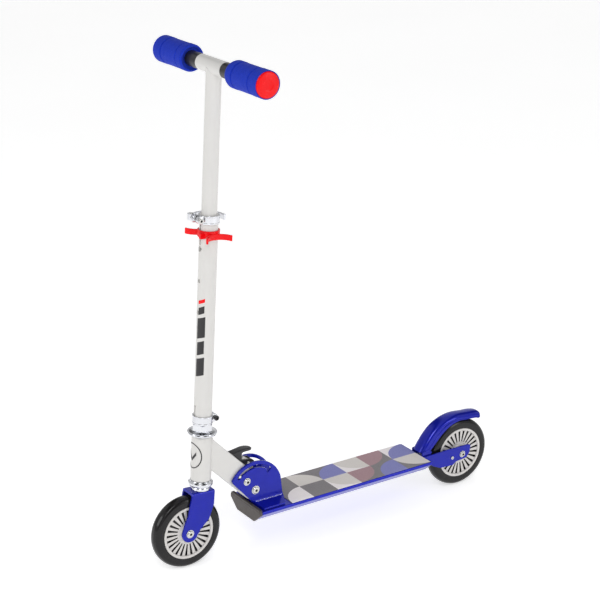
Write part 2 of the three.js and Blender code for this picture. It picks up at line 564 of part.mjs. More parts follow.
function addHandles() {
  const core = [
    [5, 2.5], [11.15, 2.5], [11.15, BAR.half + GAP], [12.5, BAR.half + GAP], [12.5, GRIP.end], [5, GRIP.end],
  ];
  const flange = 18;
  const grip = [
    [12.8, GRIP.start + 4], [16, GRIP.start + 4], [18.6, GRIP.start],
    [GRIP.r, GRIP.start + 5], [GRIP.r, GRIP.start + flange], [GRIP.r - 1.2, GRIP.start + flange + 1],
    [GRIP.r, GRIP.start + flange + 2], [GRIP.r, GRIP.end - flange - 2], [GRIP.r - 1.2, GRIP.end - flange - 1],
    [GRIP.r, GRIP.end - flange], [GRIP.r, GRIP.end], [12.8, GRIP.end],
  ];
  const cap = [
    [0, 128], [4.6, 128], [4.6, GRIP.end + GAP], [GRIP.r, GRIP.end + GAP], [GRIP.r, GRIP.end + 2.4],
    [GRIP.r - 2, GRIP.cap - 0.4], [0, GRIP.cap],
  ];
  for (const [name, side] of [['left', 1], ['right', -1]]) {
    const place = (profile, segments) => solid(alongY(turned(profile, segments), side).translate(0, 0, BAR.s));
    add(column, `handle_core_${name}`, place(core, 28), M.blackPlastic);
    add(column, `grip_${name}`, place(grip, 28), M.foam);
    add(column, `end_cap_${name}`, place(cap, 28), M.redPlastic);
  }
}

addDeck();
addFoldBracket();
addRearEnd();
addWheel('rear', frame, 0, WHEEL_R);
addNeck();
addHead();
addFork();
addWheel('front', column, FORK_OFFSET, AXLE_S);
addSteeringTube();
addHandlebar();
addHandles();

export default group;
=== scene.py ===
"""The visible surfaces of a child's folding kick scooter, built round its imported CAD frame.

Sizes are in millimetres in two local frames. BASE has its origin on the floor under the rear
axle, with x forward, y to the rider's left and z up. COLUMN stands on the steering axis, with
z running along that axis. `piece` turns a finished mesh into metres in the row frame.
"""

import json
import math

import bmesh
import bpy
from mathutils import Matrix, Vector


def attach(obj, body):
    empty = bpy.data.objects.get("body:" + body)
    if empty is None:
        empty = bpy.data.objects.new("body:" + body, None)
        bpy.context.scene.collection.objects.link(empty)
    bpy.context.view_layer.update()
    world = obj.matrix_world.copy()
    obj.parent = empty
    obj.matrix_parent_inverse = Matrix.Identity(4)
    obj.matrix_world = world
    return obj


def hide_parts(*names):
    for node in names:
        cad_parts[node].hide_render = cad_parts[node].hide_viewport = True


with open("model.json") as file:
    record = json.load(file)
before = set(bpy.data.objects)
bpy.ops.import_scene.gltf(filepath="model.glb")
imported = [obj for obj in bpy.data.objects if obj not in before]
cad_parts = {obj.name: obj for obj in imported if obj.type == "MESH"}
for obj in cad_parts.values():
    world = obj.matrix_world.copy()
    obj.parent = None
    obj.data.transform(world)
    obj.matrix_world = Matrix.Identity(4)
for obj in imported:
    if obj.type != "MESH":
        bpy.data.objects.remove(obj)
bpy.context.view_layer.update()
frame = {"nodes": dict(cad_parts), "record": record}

# ---- driving dimensions
MM = 0.001
RAKE = math.radians(3.45)
WHEEL_R = 62.5
SLOTS = 25  # round each wheel
AXLE = Vector((25.7, 0, 61.1))  # front axle, in COLUMN
BASE = Matrix.Translation((-281, 0, 0))
COLUMN = Matrix.Translation((259.02, 0, 0)) @ Matrix.Rotation(-RAKE, 4, "Y")
IN_COLUMN = COLUMN.inverted() @ BASE  # from BASE coordinates to COLUMN coordinates

# x and z, in BASE
PIVOT = Vector((436.9, 109.6))
STOP = Vector((453.2, 128.7))
LATCH = Vector((444.0, 157.5))
BRAKE = Vector((80.0, 71.0))
NECK_ANGLE = math.radians(46)
GUIDE_TRACK = 42.6  # the guide pin's distance from the pivot

# heights and radii in COLUMN
HEAD_TUBE_R = 17.2
TUBE_R, TUBE_BORE, TUBE_LOW, TUBE_HIGH = 15.0, 12.58, 248.0, 598.0
STEM_R = 12.5
BUTTON_S = 542.4
SETTING_STEP = 52.3
BAR_S = 830.5
GRIP_START, GRIP_END, GRIP_R = 64.0, 150.0, 21.8
WEB = 5.0  # half the thickness of a wheel's web, which the slots stop at; its faces in the slots are painted black as shade
CLAMP_BOLT = Vector((20.5, 0, 590.9))
CLIP_LOW, CLIP_HIGH = 562.1, 573.6


# ---- outlines
def rounded(points, radius=0.6, steps=4):
    """The closed outline with its corners rounded. A third number on a point is its own radius."""
    out = []
    for i, point in enumerate(points):
        here = Vector(point[:2])
        back = Vector(points[i - 1][:2]) - here
        ahead = Vector(points[(i + 1) % len(points)][:2]) - here
        size = point[2] if len(point) > 2 else radius
        half = back.angle(ahead) / 2
        if size <= 0 or half > math.radians(88):
            out.append(here)
            continue
        reach = min(size / math.tan(half), back.length * 0.49, ahead.length * 0.49)
        back.normalize()
        ahead.normalize()
        centre = here + (back + ahead).normalized() * reach / math.cos(half)
        start = here + back * reach - centre
        end = here + ahead * reach - centre
        sweep = math.pi - 2 * half
        for k in range(steps + 1):
            t = k / steps
            swung = start * math.sin((1 - t) * sweep) + end * math.sin(t * sweep)
            out.append(centre + swung / math.sin(sweep))
    return out


def arc(centre, radius, start, end, steps=12):
    """Points on a circle from one angle to another, in degrees."""
    angles = [math.radians(start + (end - start) * k / steps) for k in range(steps + 1)]
    return [Vector((centre[0] + radius * math.cos(a), centre[1] + radius * math.sin(a))) for a in angles]


def circle(centre, radius, steps=40):
    return arc(centre, radius, 0, 360, steps)[:-1]


def oblong(x0, x1, half):
    return [(x0, -half), (x1, -half), (x1, half), (x0, half)]


def symmetric(points):
    """A profile of (radius, height) points below the middle, and the same above it."""
    return points + [(p[0], -p[1], *p[2:]) for p in reversed(points)]


# ---- solids
# Where an outline's two directions and its depth lie, for solids along X, Y and Z.
PLANES = {
    "X": Matrix(((0, 0, 1, 0), (1, 0, 0, 0), (0, 1, 0, 0), (0, 0, 0, 1))),
    "Y": Matrix(((1, 0, 0, 0), (0, 0, 1, 0), (0, 1, 0, 0), (0, 0, 0, 1))),
    "Z": Matrix.Identity(4),
}
# How a solid turned about Z is laid along another axis.
TURNS = {
    "X": Matrix.Rotation(math.pi / 2, 4, "Y"),
    "Y": Matrix.Rotation(-math.pi / 2, 4, "X"),
    "-Y": Matrix.Rotation(math.pi / 2, 4, "X"),
    "Z": Matrix.Identity(4),
}


def as_mesh(bm, weld=1e-3):
    bmesh.ops.remove_doubles(bm, verts=bm.verts, dist=weld)
    bmesh.ops.recalc_face_normals(bm, faces=bm.faces)
    mesh = bpy.data.meshes.new("made")
    bm.to_mesh(mesh)
    bm.free()
    return mesh


def evaluated(obj):
    """The object's final mesh, and the object is removed."""
    depsgraph = bpy.context.evaluated_depsgraph_get()
    mesh = bpy.data.meshes.new_from_object(obj.evaluated_get(depsgraph))
    bpy.data.objects.remove(obj)
    return mesh


def scratch(data):
    obj = bpy.data.objects.new("scratch", data)
    bpy.context.scene.collection.objects.link(obj)
    return obj


def anticlockwise(points):
    turn = sum(a[0] * b[1] - b[0] * a[1] for a, b in zip(points, [*points[1:], points[0]]))
    return list(points) if turn > 0 else list(points)[::-1]


def slab(outline, low, high, axis="Y", holes=(), bevel=0.8, rounds=2):
    """A flat outline given depth from low to high along an axis, with rounded edges."""
    curve = bpy.data.curves.new("outline", "CURVE")
    curve.dimensions = "2D"
    curve.fill_mode = "BOTH"
    curve.extrude = (high - low) / 2 - bevel
    curve.bevel_depth = bevel
    curve.bevel_resolution = rounds
    curve.offset = -bevel
    loops = [anticlockwise(outline)] + [anticlockwise(hole)[::-1] for hole in holes]
    for points in loops:
        spline = curve.splines.new("POLY")
        spline.points.add(len(points) - 1)
        for target, point in zip(spline.points, points):
            target.co = (point[0], point[1], 0, 1)
        spline.use_cyclic_u = True
    flat = evaluated(scratch(curve))
    bm = bmesh.new()
    bm.from_mesh(flat)
    lift = Matrix.Translation((0, 0, (low + high) / 2))
    bmesh.ops.transform(bm, matrix=PLANES[axis] @ lift, verts=bm.verts)
    return as_mesh(bm, 1e-2)


def cutter(outline, low, high, axis="Y"):
    """A slab with sharp edges, which other solids are cut with."""
    return slab(outline, low, high, axis, bevel=0.01, rounds=0)


def revolve(profile, centre=(0, 0, 0), axis="Z", segments=72, radius=0.4, steps=3):
    """A closed outline of (radius, height) points turned about an axis through centre."""
    outline = rounded(profile, radius, steps)
    bm = bmesh.new()
    turned = []
    for k in range(segments):
        a = 2 * math.pi * k / segments
        turned.append([bm.verts.new((p[0] * math.cos(a), p[0] * math.sin(a), p[1])) for p in outline])
    for k, row in enumerate(turned):
        after = turned[(k + 1) % segments]
        for i in range(len(outline)):
            j = (i + 1) % len(outline)
            if outline[i][0] < 1e-6 and outline[j][0] < 1e-6:
                continue
            bm.faces.new((row[i], row[j], after[j], after[i]))
    bmesh.ops.transform(bm, matrix=Matrix.Translation(centre) @ TURNS[axis], verts=bm.verts)
    return as_mesh(bm)


def rod(radius, low, high, centre=(0, 0, 0), axis="Z", segments=48, edge=0.0):
    profile = [(0, low, 0), (radius, low), (radius, high), (0, high, 0)]
    return revolve(profile, centre, axis, segments, edge)


def ring(inner, outer, low, high, centre=(0, 0, 0), axis="Z", segments=96, edge=0.5):
    profile = [(inner, low), (outer, low), (outer, high), (inner, high)]
    return revolve(profile, centre, axis, segments, edge)


def block(low, high):
    bm = bmesh.new()
    bmesh.ops.create_cube(bm, size=1)
    low, high = Vector(low), Vector(high)
    place = Matrix.Translation((low + high) / 2) @ Matrix.Diagonal((*(high - low), 1))
    bmesh.ops.transform(bm, matrix=place, verts=bm.verts)
    return as_mesh(bm)


def loft(rings):
    """Closed rings of equal length joined into a skin, with flat ends."""
    bm = bmesh.new()
    rows = [[bm.verts.new(p) for p in points] for points in rings]
    for row, after in zip(rows, rows[1:]):
        for i in range(len(row)):
            j = (i + 1) % len(row)
            bm.faces.new((row[i], row[j], after[j], after[i]))
    bm.faces.new(rows[0])
    bm.faces.new(rows[-1])
    return as_mesh(bm)


def pipe(points, radius, cyclic=False, steps=4, swell=None):
    """A round wire along a path. `swell` is the change in its thickness at each point."""
    curve = bpy.data.curves.new("path", "CURVE")
    curve.dimensions = "3D"
    curve.bevel_depth = radius
    curve.bevel_resolution = steps
    curve.use_fill_caps = True
    spline = curve.splines.new("POLY")
    spline.points.add(len(points) - 1)
    for target, point, change in zip(spline.points, points, swell or [1.0] * len(points)):
        target.co = (*point, 1)
        target.radius = change
    spline.use_cyclic_u = cyclic
    bm = bmesh.new()
    bm.from_mesh(evaluated(scratch(curve)))
    return as_mesh(bm)


def combined(first, *others, operation="UNION"):
    """The first mesh with the others added or taken away."""
    obj = scratch(first)
    tools = [scratch(other) for other in others]
    for tool in tools:
        modifier = obj.modifiers.new("combine", "BOOLEAN")
        modifier.operation = operation
        modifier.solver = "EXACT"
        # a bevelled slab can touch itself at its corners
        modifier.use_self = len(obj.data.polygons) < 4000
        modifier.object = tool
    bpy.context.view_layer.update()
    mesh = evaluated(obj)
    for tool in tools:
        bpy.data.objects.remove(tool)
    if not mesh.polygons:
        raise RuntimeError("a boolean left nothing")
    return mesh


def cut(first, *tools):
    return combined(first, *tools, operation="DIFFERENCE")


def bevelled(mesh, width=0.5, segments=3, angle=40):
    obj = scratch(mesh)
    modifier = obj.modifiers.new("bevel", "BEVEL")
    modifier.width = width
    modifier.segments = segments
    modifier.limit_method = "ANGLE"
    modifier.angle_limit = math.radians(angle)
    modifier.harden_normals = False
    bpy.context.view_layer.update()
    return evaluated(obj)


def merged(*meshes):
    """Separate solids kept in one mesh."""
    bm = bmesh.new()
    for mesh in meshes:
        bm.from_mesh(mesh)
    out = bpy.data.meshes.new("merged")
    bm.to_mesh(out)
    bm.free()
    return out


def moved(mesh, matrix):
    copy = mesh.copy()
    copy.transform(matrix)
    if matrix.determinant() < 0:
        copy.flip_normals()
    return copy


SIDES = (("Y", "left"), ("-Y", "right"))
MIRROR_X = Matrix.Diagonal((-1, 1, 1, 1))
MIRROR_Y = Matrix.Diagonal((1, -1, 1, 1))


# ---- materials
class Nodes:
    """A short way to write a material's nodes, or the world's."""

    def __init__(self, owner, shader="Principled BSDF", space="Object"):
        self.owner = owner
        owner.use_nodes = True
        self.tree = owner.node_tree
        self.shader = self.tree.nodes[shader]
        self.place = self.tree.nodes.new("ShaderNodeTexCoord").outputs[space]

    def link(self, source, target):
        self.tree.links.new(source, target)

    def noise(self, scale, detail=2.0, stretch=None):
        place = self.place
        if stretch:
            mapping = self.tree.nodes.new("ShaderNodeMapping")
            mapping.inputs["Scale"].default_value = stretch
            self.link(place, mapping.inputs["Vector"])
            place = mapping.outputs["Vector"]
        node = self.tree.nodes.new("ShaderNodeTexNoise")
        node.inputs["Scale"].default_value = scale
        node.inputs["Detail"].default_value = detail
        self.link(place, node.inputs["Vector"])
        return node.outputs["Fac"]

    def cells(self, scale, randomness=1.0):
        node = self.tree.nodes.new("ShaderNodeTexVoronoi")
        node.inputs["Scale"].default_value = scale
        node.inputs["Randomness"].default_value = randomness
        self.link(self.place, node.inputs["Vector"])
        return node.outputs["Distance"]

    def ramp(self, source, stops):
        node = self.tree.nodes.new("ShaderNodeValToRGB")
        elements = node.color_ramp.elements
        while len(elements) < len(stops):
            elements.new(0.5)
        for element, (position, value) in zip(elements, stops):
            element.position = position
            element.color = (*value, 1) if isinstance(value, tuple) else (value, value, value, 1)
        self.link(source, node.inputs["Fac"])
        return node.outputs["Color"]

    def bump(self, source, strength, distance):
        node = self.tree.nodes.new("ShaderNodeBump")
        node.inputs["Strength"].default_value = strength
        node.inputs["Distance"].default_value = distance
        self.link(source, node.inputs["Height"])
        self.link(node.outputs["Normal"], self.shader.inputs["Normal"])

    def colour(self, source, target="Base Color"):
        self.link(source, self.shader.inputs[target])


def shade(colour, factor):
    return tuple(min(1.0, c * factor) for c in colour)


def new_material(name):
    return Nodes(bpy.data.materials.new(name))


def finish(name, colour, rough, metal=0.0, coat=0.0, grain=900, bump=0.08, vary=0.06, specular=0.5,
           stretch=None, patchy=0.15):
    """A finish with slow colour change, patchy roughness and a fine surface texture."""
    mottle, depth = 60, 0.0002
    nodes = new_material(name)
    shader = nodes.shader.inputs
    shader["Metallic"].default_value = metal
    shader["Coat Weight"].default_value = coat
    shader["Coat Roughness"].default_value = 0.04
    shader["Specular IOR Level"].default_value = specular
    drift = nodes.noise(mottle, 3)
    nodes.colour(nodes.ramp(drift, [(0.3, shade(colour, 1 - vary)), (0.7, shade(colour, 1 + vary))]))
    patch = nodes.noise(mottle * 2.3, 4, stretch)
    stops = [(0.3, rough * (1 - patchy)), (0.75, rough * (1 + patchy))]
    nodes.colour(nodes.ramp(patch, stops), "Roughness")
    nodes.bump(nodes.noise(grain, 3, stretch), bump, depth)
    return nodes.owner


def foam(name, colour):
    """Closed-cell foam: small pits, with painted shade darkening their hollows and a painted highlight
    lightening their rims.
    """
    nodes = new_material(name)
    shader = nodes.shader.inputs
    shader["Sheen Weight"].default_value = 0.04
    shader["Sheen Roughness"].default_value = 0.5
    shader["Specular IOR Level"].default_value = 0.12
    pits = nodes.cells(900)
    # painted shade darkens each pit's hollow and a painted highlight lightens its rim
    pit_shade_tones = [(0.0, shade(colour, 0.72)), (0.45, colour), (0.9, shade(colour, 1.25))]
    nodes.colour(nodes.ramp(pits, pit_shade_tones))
    nodes.colour(nodes.ramp(nodes.noise(140, 4), [(0.3, 0.68), (0.7, 0.85)]), "Roughness")
    nodes.bump(pits, 0.35, 0.0003)
    return nodes.owner


def printed(name, dot, ground):
    """Deck print: a fine screen of dots in ink over the ground colour, under a clear grit."""
    nodes = new_material(name)
    nodes.shader.inputs["Specular IOR Level"].default_value = 0.4
    screen = nodes.cells(620, 0.0)
    nodes.colour(nodes.ramp(screen, [(0.38, dot), (0.5, ground)]))
    nodes.colour(nodes.ramp(nodes.noise(300, 4), [(0.3, 0.5), (0.7, 0.72)]), "Roughness")
    nodes.bump(nodes.noise(2600, 2), 0.25, 0.0003)
    return nodes.owner


BLUE = (0.006, 0.012, 0.36)
MATERIALS = {
    name: finish(name, colour, rough, **rest)
    for name, colour, rough, rest in (
        ("blue_paint", BLUE, 0.17, dict(metal=0.3, coat=0.4, vary=0.05, specular=0.1, patchy=0.06,
                                        bump=0.012, grain=300)),
        ("bright_weld", (0.4, 0.41, 0.8), 0.16, dict(metal=0.95, bump=0.3, grain=700)),
        ("deck_metal", (0.014, 0.02, 0.42), 0.28, dict(metal=0.6, coat=0.15, grain=700, bump=0.05,
                                                       specular=0.3, stretch=(0.05, 1, 1))),
        ("white_paint", (0.66, 0.65, 0.63), 0.28, dict(coat=0.2, vary=0.012, grain=240, bump=0.012,
                                                       patchy=0.02)),
        ("chrome", (0.68, 0.69, 0.72), 0.1, dict(metal=1.0, vary=0.04, bump=0.04, grain=500)),
        ("steel", (0.62, 0.62, 0.6), 0.26, dict(metal=1.0, vary=0.08, bump=0.1, grain=1500)),
        ("dark_plastic", (0.085, 0.073, 0.068), 0.45, dict(bump=0.25, grain=2200, specular=0.35)),
        ("black_plastic", (0.014, 0.013, 0.015), 0.34, dict(bump=0.2, grain=2200, vary=0.2, specular=0.5)),
        ("red_plastic", (0.84, 0.003, 0.006), 0.26, dict(coat=0.06, bump=0.06, grain=700, specular=0.2,
                                                         vary=0.04)),
        ("wheel_tyre", (0.008, 0.0075, 0.008), 0.2, dict(coat=0.08, bump=0.05, grain=600, vary=0.15,
                                                         specular=0.27)),
        ("wheel_plastic", (0.62, 0.6, 0.58), 0.36, dict(metal=0.1, vary=0.03, bump=0.08)),
    )
}
MATERIALS["grip_foam"] = foam("grip_foam", (0.009, 0.032, 0.42))
MATERIALS["tape"] = printed("tape_edge", (0.12, 0.12, 0.14), (0.2, 0.2, 0.22))
PRINTS = {
    "grey": printed("print_grey", (0.13, 0.12, 0.135), (0.27, 0.255, 0.265)),
    "violet": printed("print_violet", (0.1, 0.1, 0.32), (0.27, 0.28, 0.6)),
    "red": printed("print_red", (0.24, 0.11, 0.135), (0.46, 0.3, 0.33)),
    "beige": printed("print_beige", (0.6, 0.56, 0.53), (0.78, 0.74, 0.71)),
    "white": printed("print_white", (0.86, 0.8, 0.81), (0.97, 0.92, 0.93)),
}

# ---- pieces
SLOT_OF = {s["node"]: s["material_slot"] for s in frame["record"]["subparts"]}
BODY_OF = {node: body for body, nodes in frame["record"]["behaviour"]["bodies"].items() for node in nodes}

for node_name, node in frame["nodes"].items():
    node.data.materials.clear()
    node.data.materials.append(MATERIALS[SLOT_OF[node_name]])


def piece(name, mesh, where, beside=None, material=None, smooth=38, weighted=True, painted_shade=None):
    """A finished piece that stands for the CAD node of its name, or lies beside a node and moves with it.

    `where` is the frame that the mesh is in, and `smooth` the angle in degrees up to which an edge
    is shaded smooth. The last argument picks out the faces that are painted black as shade,
    such as the bottom of a socket.
    """
    anchor = beside or name
    nodes = () if beside else (name,)
    if not mesh.materials or mesh.materials[0] is None:
        mesh.materials.clear()
        mesh.materials.append(MATERIALS[material or SLOT_OF[anchor]])
    if painted_shade:
        mesh.materials.append(MATERIALS["black_plastic"])
        for polygon in mesh.polygons:
            polygon.material_index = int(painted_shade(polygon.center, polygon.normal))
    mesh.transform(Matrix.Scale(MM, 4) @ where)
    mesh.name = name
    mesh.shade_smooth()
    mesh.set_sharp_from_angle(angle=math.radians(smooth))
    obj = bpy.data.objects.new(f"{name}_surface" if nodes else name, mesh)
    bpy.context.scene.collection.objects.link(obj)
    if weighted:
        modifier = obj.modifiers.new("normals", "WEIGHTED_NORMAL")
        modifier.keep_sharp = True
    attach(obj, BODY_OF[anchor])
    if nodes:
        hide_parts(*nodes)


# ---- fasteners
def cap_screw(centre, radius, head_r, tip, head, depth=3.0, socket=2.3, dome=1.0, side=1):
    """A screw along Y with a hexagonal socket. `head` is the head's outer face."""
    under = head - depth
    profile = [
        (0, tip, 0), (radius - 0.5, tip), (radius, tip + 0.6), (radius, under, 0.1), (head_r, under, 0.3),
        (head_r, head - dome, dome), (head_r - dome, head, dome), (0, head, 0),
    ]
    body = revolve(profile, centre, "Y" if side == 1 else "-Y", 48)
    hexagon = arc((centre[0], centre[2]), socket, 30, 390, 6)[:-1]
    well = slab(hexagon, *sorted((side * (head - 1.9), side * (head + 1))), "Y", bevel=0.05, rounds=0)
    return cut(body, well)


def socket_of(centre, socket, head, side=1):
    """Tells whether a face lies in the socket of the screw that `cap_screw` makes, which is painted black
    as shade.
    """
    def inside(at, normal):
        depth = head - side * at.y
        return math.hypot(at.x - centre[0], at.z - centre[2]) < socket and 0.3 < depth < 2.2
    return inside


def nut(centre, bore, flats, near, far):
    """A lock nut on the right-hand end of a bolt along Y: a chamfered hexagon with its nylon collar."""
    prism = slab(circle((0, 0), flats / math.sqrt(3), 6), near - 1, far + 1, "Z", bevel=0.3)
    face, corner, chamfer = flats * 0.52, flats * 0.585, 0.8
    limit = revolve([(bore, near), (face, near, 0.1), (corner, near + chamfer, 0.1),
                     (corner, far - chamfer, 0.1), (face, far, 0.1), (bore, far)], segments=48)
    body = combined(limit, prism, operation="INTERSECT")
    collar = ring(bore, flats * 0.42, far - 0.3, far + 1.2, edge=0.5, segments=48)
    return moved(merged(body, collar), Matrix.Translation(centre) @ TURNS["-Y"])


# ---- deck
# `half` is half the deck's width at the top, `foot` half its width at the bottom.
DECK = {"rear": 89, "front": 441, "top": 80.5, "edge": 75.5, "bottom": 58.5, "half": 46, "foot": 26}
WALL = 2.2  # of the deck's extrusion
TAPE_TOP, TAPE_THICK = 81.6, 0.8
BOW_STEPS = 16  # in each printed quarter circle
PRINT_X = [92, 141.2, 190.4, 239.6, 288.8, 338, 381.5]
# Each printed cell: the corner its quarter circle is centred on (rear or front, left or right), then
# the colour inside and outside the circle. The first row is on the rider's left.
PRINT_ROWS = [
    ((0, 44.8), ["rear right beige grey", "rear left violet grey", "front right red grey",
                 "rear right beige white", "front right grey grey", "rear left white grey"]),
    ((-44.8, 0), ["rear left violet white", "front right red grey", "rear right beige white",
                  "rear left violet grey", "front left beige grey", "rear left grey beige"]),
]


def deck_section(inset, radius):
    """The deck's outline across, moved inwards by inset."""
    slope = inset * 0.62
    half, foot = DECK["half"] - inset, DECK["foot"] - slope
    top, edge, bottom = DECK["top"] - inset, DECK["edge"] + slope, DECK["bottom"] + inset
    corners = [(-half, top), (-half, edge), (-foot, bottom), (foot, bottom), (half, edge), (half, top)]
    return rounded(corners, radius, 5)


def build_deck():
    hollow = deck_section(WALL, 0.8)
    shell = slab(deck_section(0, 1.6), DECK["rear"], DECK["front"], "X", [hollow], bevel=0.35)
    groove_z, deep, tall = DECK["edge"] + 0.2, 0.45, 0.5
    grooves = []
    for y in (DECK["half"], -DECK["half"]):
        low = (DECK["rear"] - 9, y - deep, groove_z - tall)
        high = (DECK["front"] + 9, y + deep, groove_z + tall)
        grooves.append(block(low, high))
    piece("deck", cut(shell, *grooves), BASE)

    back, front = DECK["front"] + 0.3, DECK["front"] + 6
    body = slab(deck_section(-1, 2.0), back, front, "X", bevel=1.4, rounds=3)
    lip = slab(rounded(oblong(back, front - 0.4, 45.5), 1.2), 79, 83.4, "Z", bevel=0.6)
    ribs = []
    for x in (0.9, 2.9, 4.7):
        outline = oblong(back + x - 0.6, back + x + 0.6, 44)
        ribs.append(slab(rounded(outline, 0.5), 82.5, 84.4, "Z", bevel=0.35))
    piece("deck_front_cap", merged(body, lip, *ribs), BASE)


def build_tape():
    """The printed sheet is cut along its printed shapes, so every colour is its own faces."""
    names = list(PRINTS)
    bm = bmesh.new()
    for (low, high), row in PRINT_ROWS:
        for x0, x1, cell in zip(PRINT_X, PRINT_X[1:], row):
            end, side, inside, outside = cell.split()
            corner = (x0 if end == "rear" else x1, high if side == "left" else low)
            other = (x1 if end == "rear" else x0, low if side == "left" else high)
            bow = []
            for k in range(BOW_STEPS + 1):
                a = math.pi / 2 * k / BOW_STEPS
                bow.append((corner[0] + (other[0] - corner[0]) * math.cos(a),
                            corner[1] + (other[1] - corner[1]) * math.sin(a)))
            for outline, ink in (([corner, *bow], inside), ([other, *reversed(bow)], outside)):
                face = bm.faces.new([bm.verts.new((x, y, TAPE_TOP)) for x, y in outline])
                face.material_index = names.index(ink)
    bmesh.ops.remove_doubles(bm, verts=bm.verts, dist=1e-3)
    bmesh.ops.recalc_face_normals(bm, faces=bm.faces)
    if bm.faces[:][0].normal.z < 0:
        bmesh.ops.reverse_faces(bm, faces=bm.faces[:])
    lower = bmesh.ops.extrude_face_region(bm, geom=bm.faces[:])
    under = [v for v in lower["geom"] if isinstance(v, bmesh.types.BMVert)]
    bmesh.ops.translate(bm, verts=under, vec=(0, 0, -TAPE_THICK))
    bmesh.ops.recalc_face_normals(bm, faces=bm.faces)
    mesh = bpy.data.meshes.new("grip_tape")
    bm.to_mesh(mesh)
    bm.free()
    for name in names:
        mesh.materials.append(PRINTS[name])
    piece("grip_tape", mesh, BASE, weighted=False)


# ---- fold bracket
def about_pivot(distance, degrees):
    a = math.radians(degrees)
    return Vector((PIVOT[0] + distance * math.cos(a), PIVOT[1] + distance * math.sin(a)))


def fold_cheek():
    """One fold plate: a fan round the pivot, with the guide pin's arc slot."""
    outline = [(383, 84), *arc(PIVOT, 51.5, 166, 37, 28), (481.5, 136), (480, 131.5), (439, 84)]
    slot = arc(PIVOT, 45.4, 42, 135, 26)
    slot += arc(PIVOT, 35.5, 135, 129, 3)
    slot += arc(PIVOT, 39.8, 125, 42, 22)
    slot.append(about_pivot(GUIDE_TRACK, 42) + Vector((2.0, -1.6)))
    holes = [rounded(slot, 1.4, 3), circle(PIVOT, 5.3), circle(STOP, 4.3)]
    return slab(rounded(outline, 2.5, 4), 14, 18, "Y", holes, bevel=0.7)


def build_fold_bracket():
    cheek = fold_cheek()
    flange = rounded([(14.1, 83.5, 0), (14.1, 90, 0), (17.9, 92, 0.1), (18.3, 88.6, 2.5), (22, 87.2, 2),
                      (41.6, 84.4, 0.8), (41.6, 81, 0.4), (17, 81, 0.3)], 0.4, 4)
    plan = rounded([(383, 13), (439, 13), (438, 22), (435.5, 42.3, 4), (394, 42.3, 4), (384, 22)], 1, 4)
    foot = combined(slab(flange, 380, 442, "X", bevel=0.05, rounds=0), slab(plan, 80, 93, "Z", bevel=0.4),
                    operation="INTERSECT")
    # a weld bead along the bend, thicker at each ripple
    ripples = [386 + 0.5 * k for k in range(103)]
    bead = pipe([(x, 18.7, 88.2 + 0.3 * math.sin(x * 0.45)) for x in ripples], 1.25,
                swell=[0.85 + 0.2 * math.sin(x * 2.4) + 0.12 * math.sin(x * 0.83) for x in ripples])
    plate = merged(cheek, foot)
    for side, turn in (("left", Matrix.Identity(4)), ("right", MIRROR_Y)):
        piece(f"fold_plate_{side}", moved(plate, turn), BASE)
        piece(f"fold_weld_{side}", moved(bead, turn), BASE, f"fold_plate_{side}", "bright_weld")
    for name, at, radius in (("fold_pivot", PIVOT, 5), ("fold_stop", STOP, 4)):
        centre = (at[0], 0, at[1])
        head = cap_screw(centre, radius, radius + 1.2, -23.5, 21.3, 3.0, socket=2.6)
        washer = ring(radius + 0.2, radius + 2.6, 18.05, 18.7, centre, "Y", 48, 0.2)
        piece(f"{name}_bolt", merged(head, washer), BASE, painted_shade=socket_of(centre, 2.6, 21.3))
        piece(f"{name}_nut", nut(centre, radius + 0.3, 2 * radius + 4.5, 18.3, 23), BASE)


# ---- rear fork and brake
def build_rear_fork():
    arm = [
        (118, 61.2), (118, 77.6), (88, 77.6, 8), (40, 78.6, 20), (-13, 77.9, 4), (-18.5, 75.8, 2.5),
        (-16.5, 62, 6), (-9, 53.2, 5), (13, 51.2, 6), (21, 46, 5), (49, 47.4, 10), (64, 54.4, 8),
        (74, 61.2, 5),
    ]
    screw_at = (23, 0, 60.9)
    # the brake pin goes through the right-hand plate only
    holes = [circle((0, WHEEL_R), 4.3), circle((screw_at[0], screw_at[2]), 2.3, 24), circle(BRAKE, 2.8, 24)]
    for side, name, low, high, bores in ((1, "left", 16, 19, holes[:2]), (-1, "right", -19, -16, holes)):
        plate = slab(rounded(arm, 1.5, 5), low, high, "Y", bores, bevel=0.6)
        piece(f"rear_fork_{name}", plate, BASE)
        screw = cap_screw(screw_at, 2, 3.1, 14.6, 20.8, 1.6, socket=1.3, dome=0.6, side=side)
        piece(f"rear_fork_screw_{name}", screw, BASE, painted_shade=socket_of(screw_at, 1.3, 20.8, side))
    build_axle("rear", BASE, (0, 0, WHEEL_R), 19, 4.9)

    hinge = (BRAKE[0], 0, BRAKE[1])
    pin = revolve([(0, -24, 0), (1.9, -24), (2.5, -23.2), (2.5, 17.6), (0, 17.6, 0)], hinge, "Y", 32, 0.3)
    clip = ring(2.4, 4.2, -21, -20, hinge, "Y", 32, 0.3)
    piece("brake_pin", merged(pin, clip), BASE)
    turns, steps, half, radius = 7, 140, 8.4, 3.6
    coil = []
    for k in range(steps + 1):
        a = 2 * math.pi * turns * k / steps
        y = -half + 2 * half * k / steps
        coil.append((hinge[0] + radius * math.cos(a), y, hinge[2] + radius * math.sin(a)))
    piece("brake_spring", pipe(coil, 0.75, steps=3), BASE)


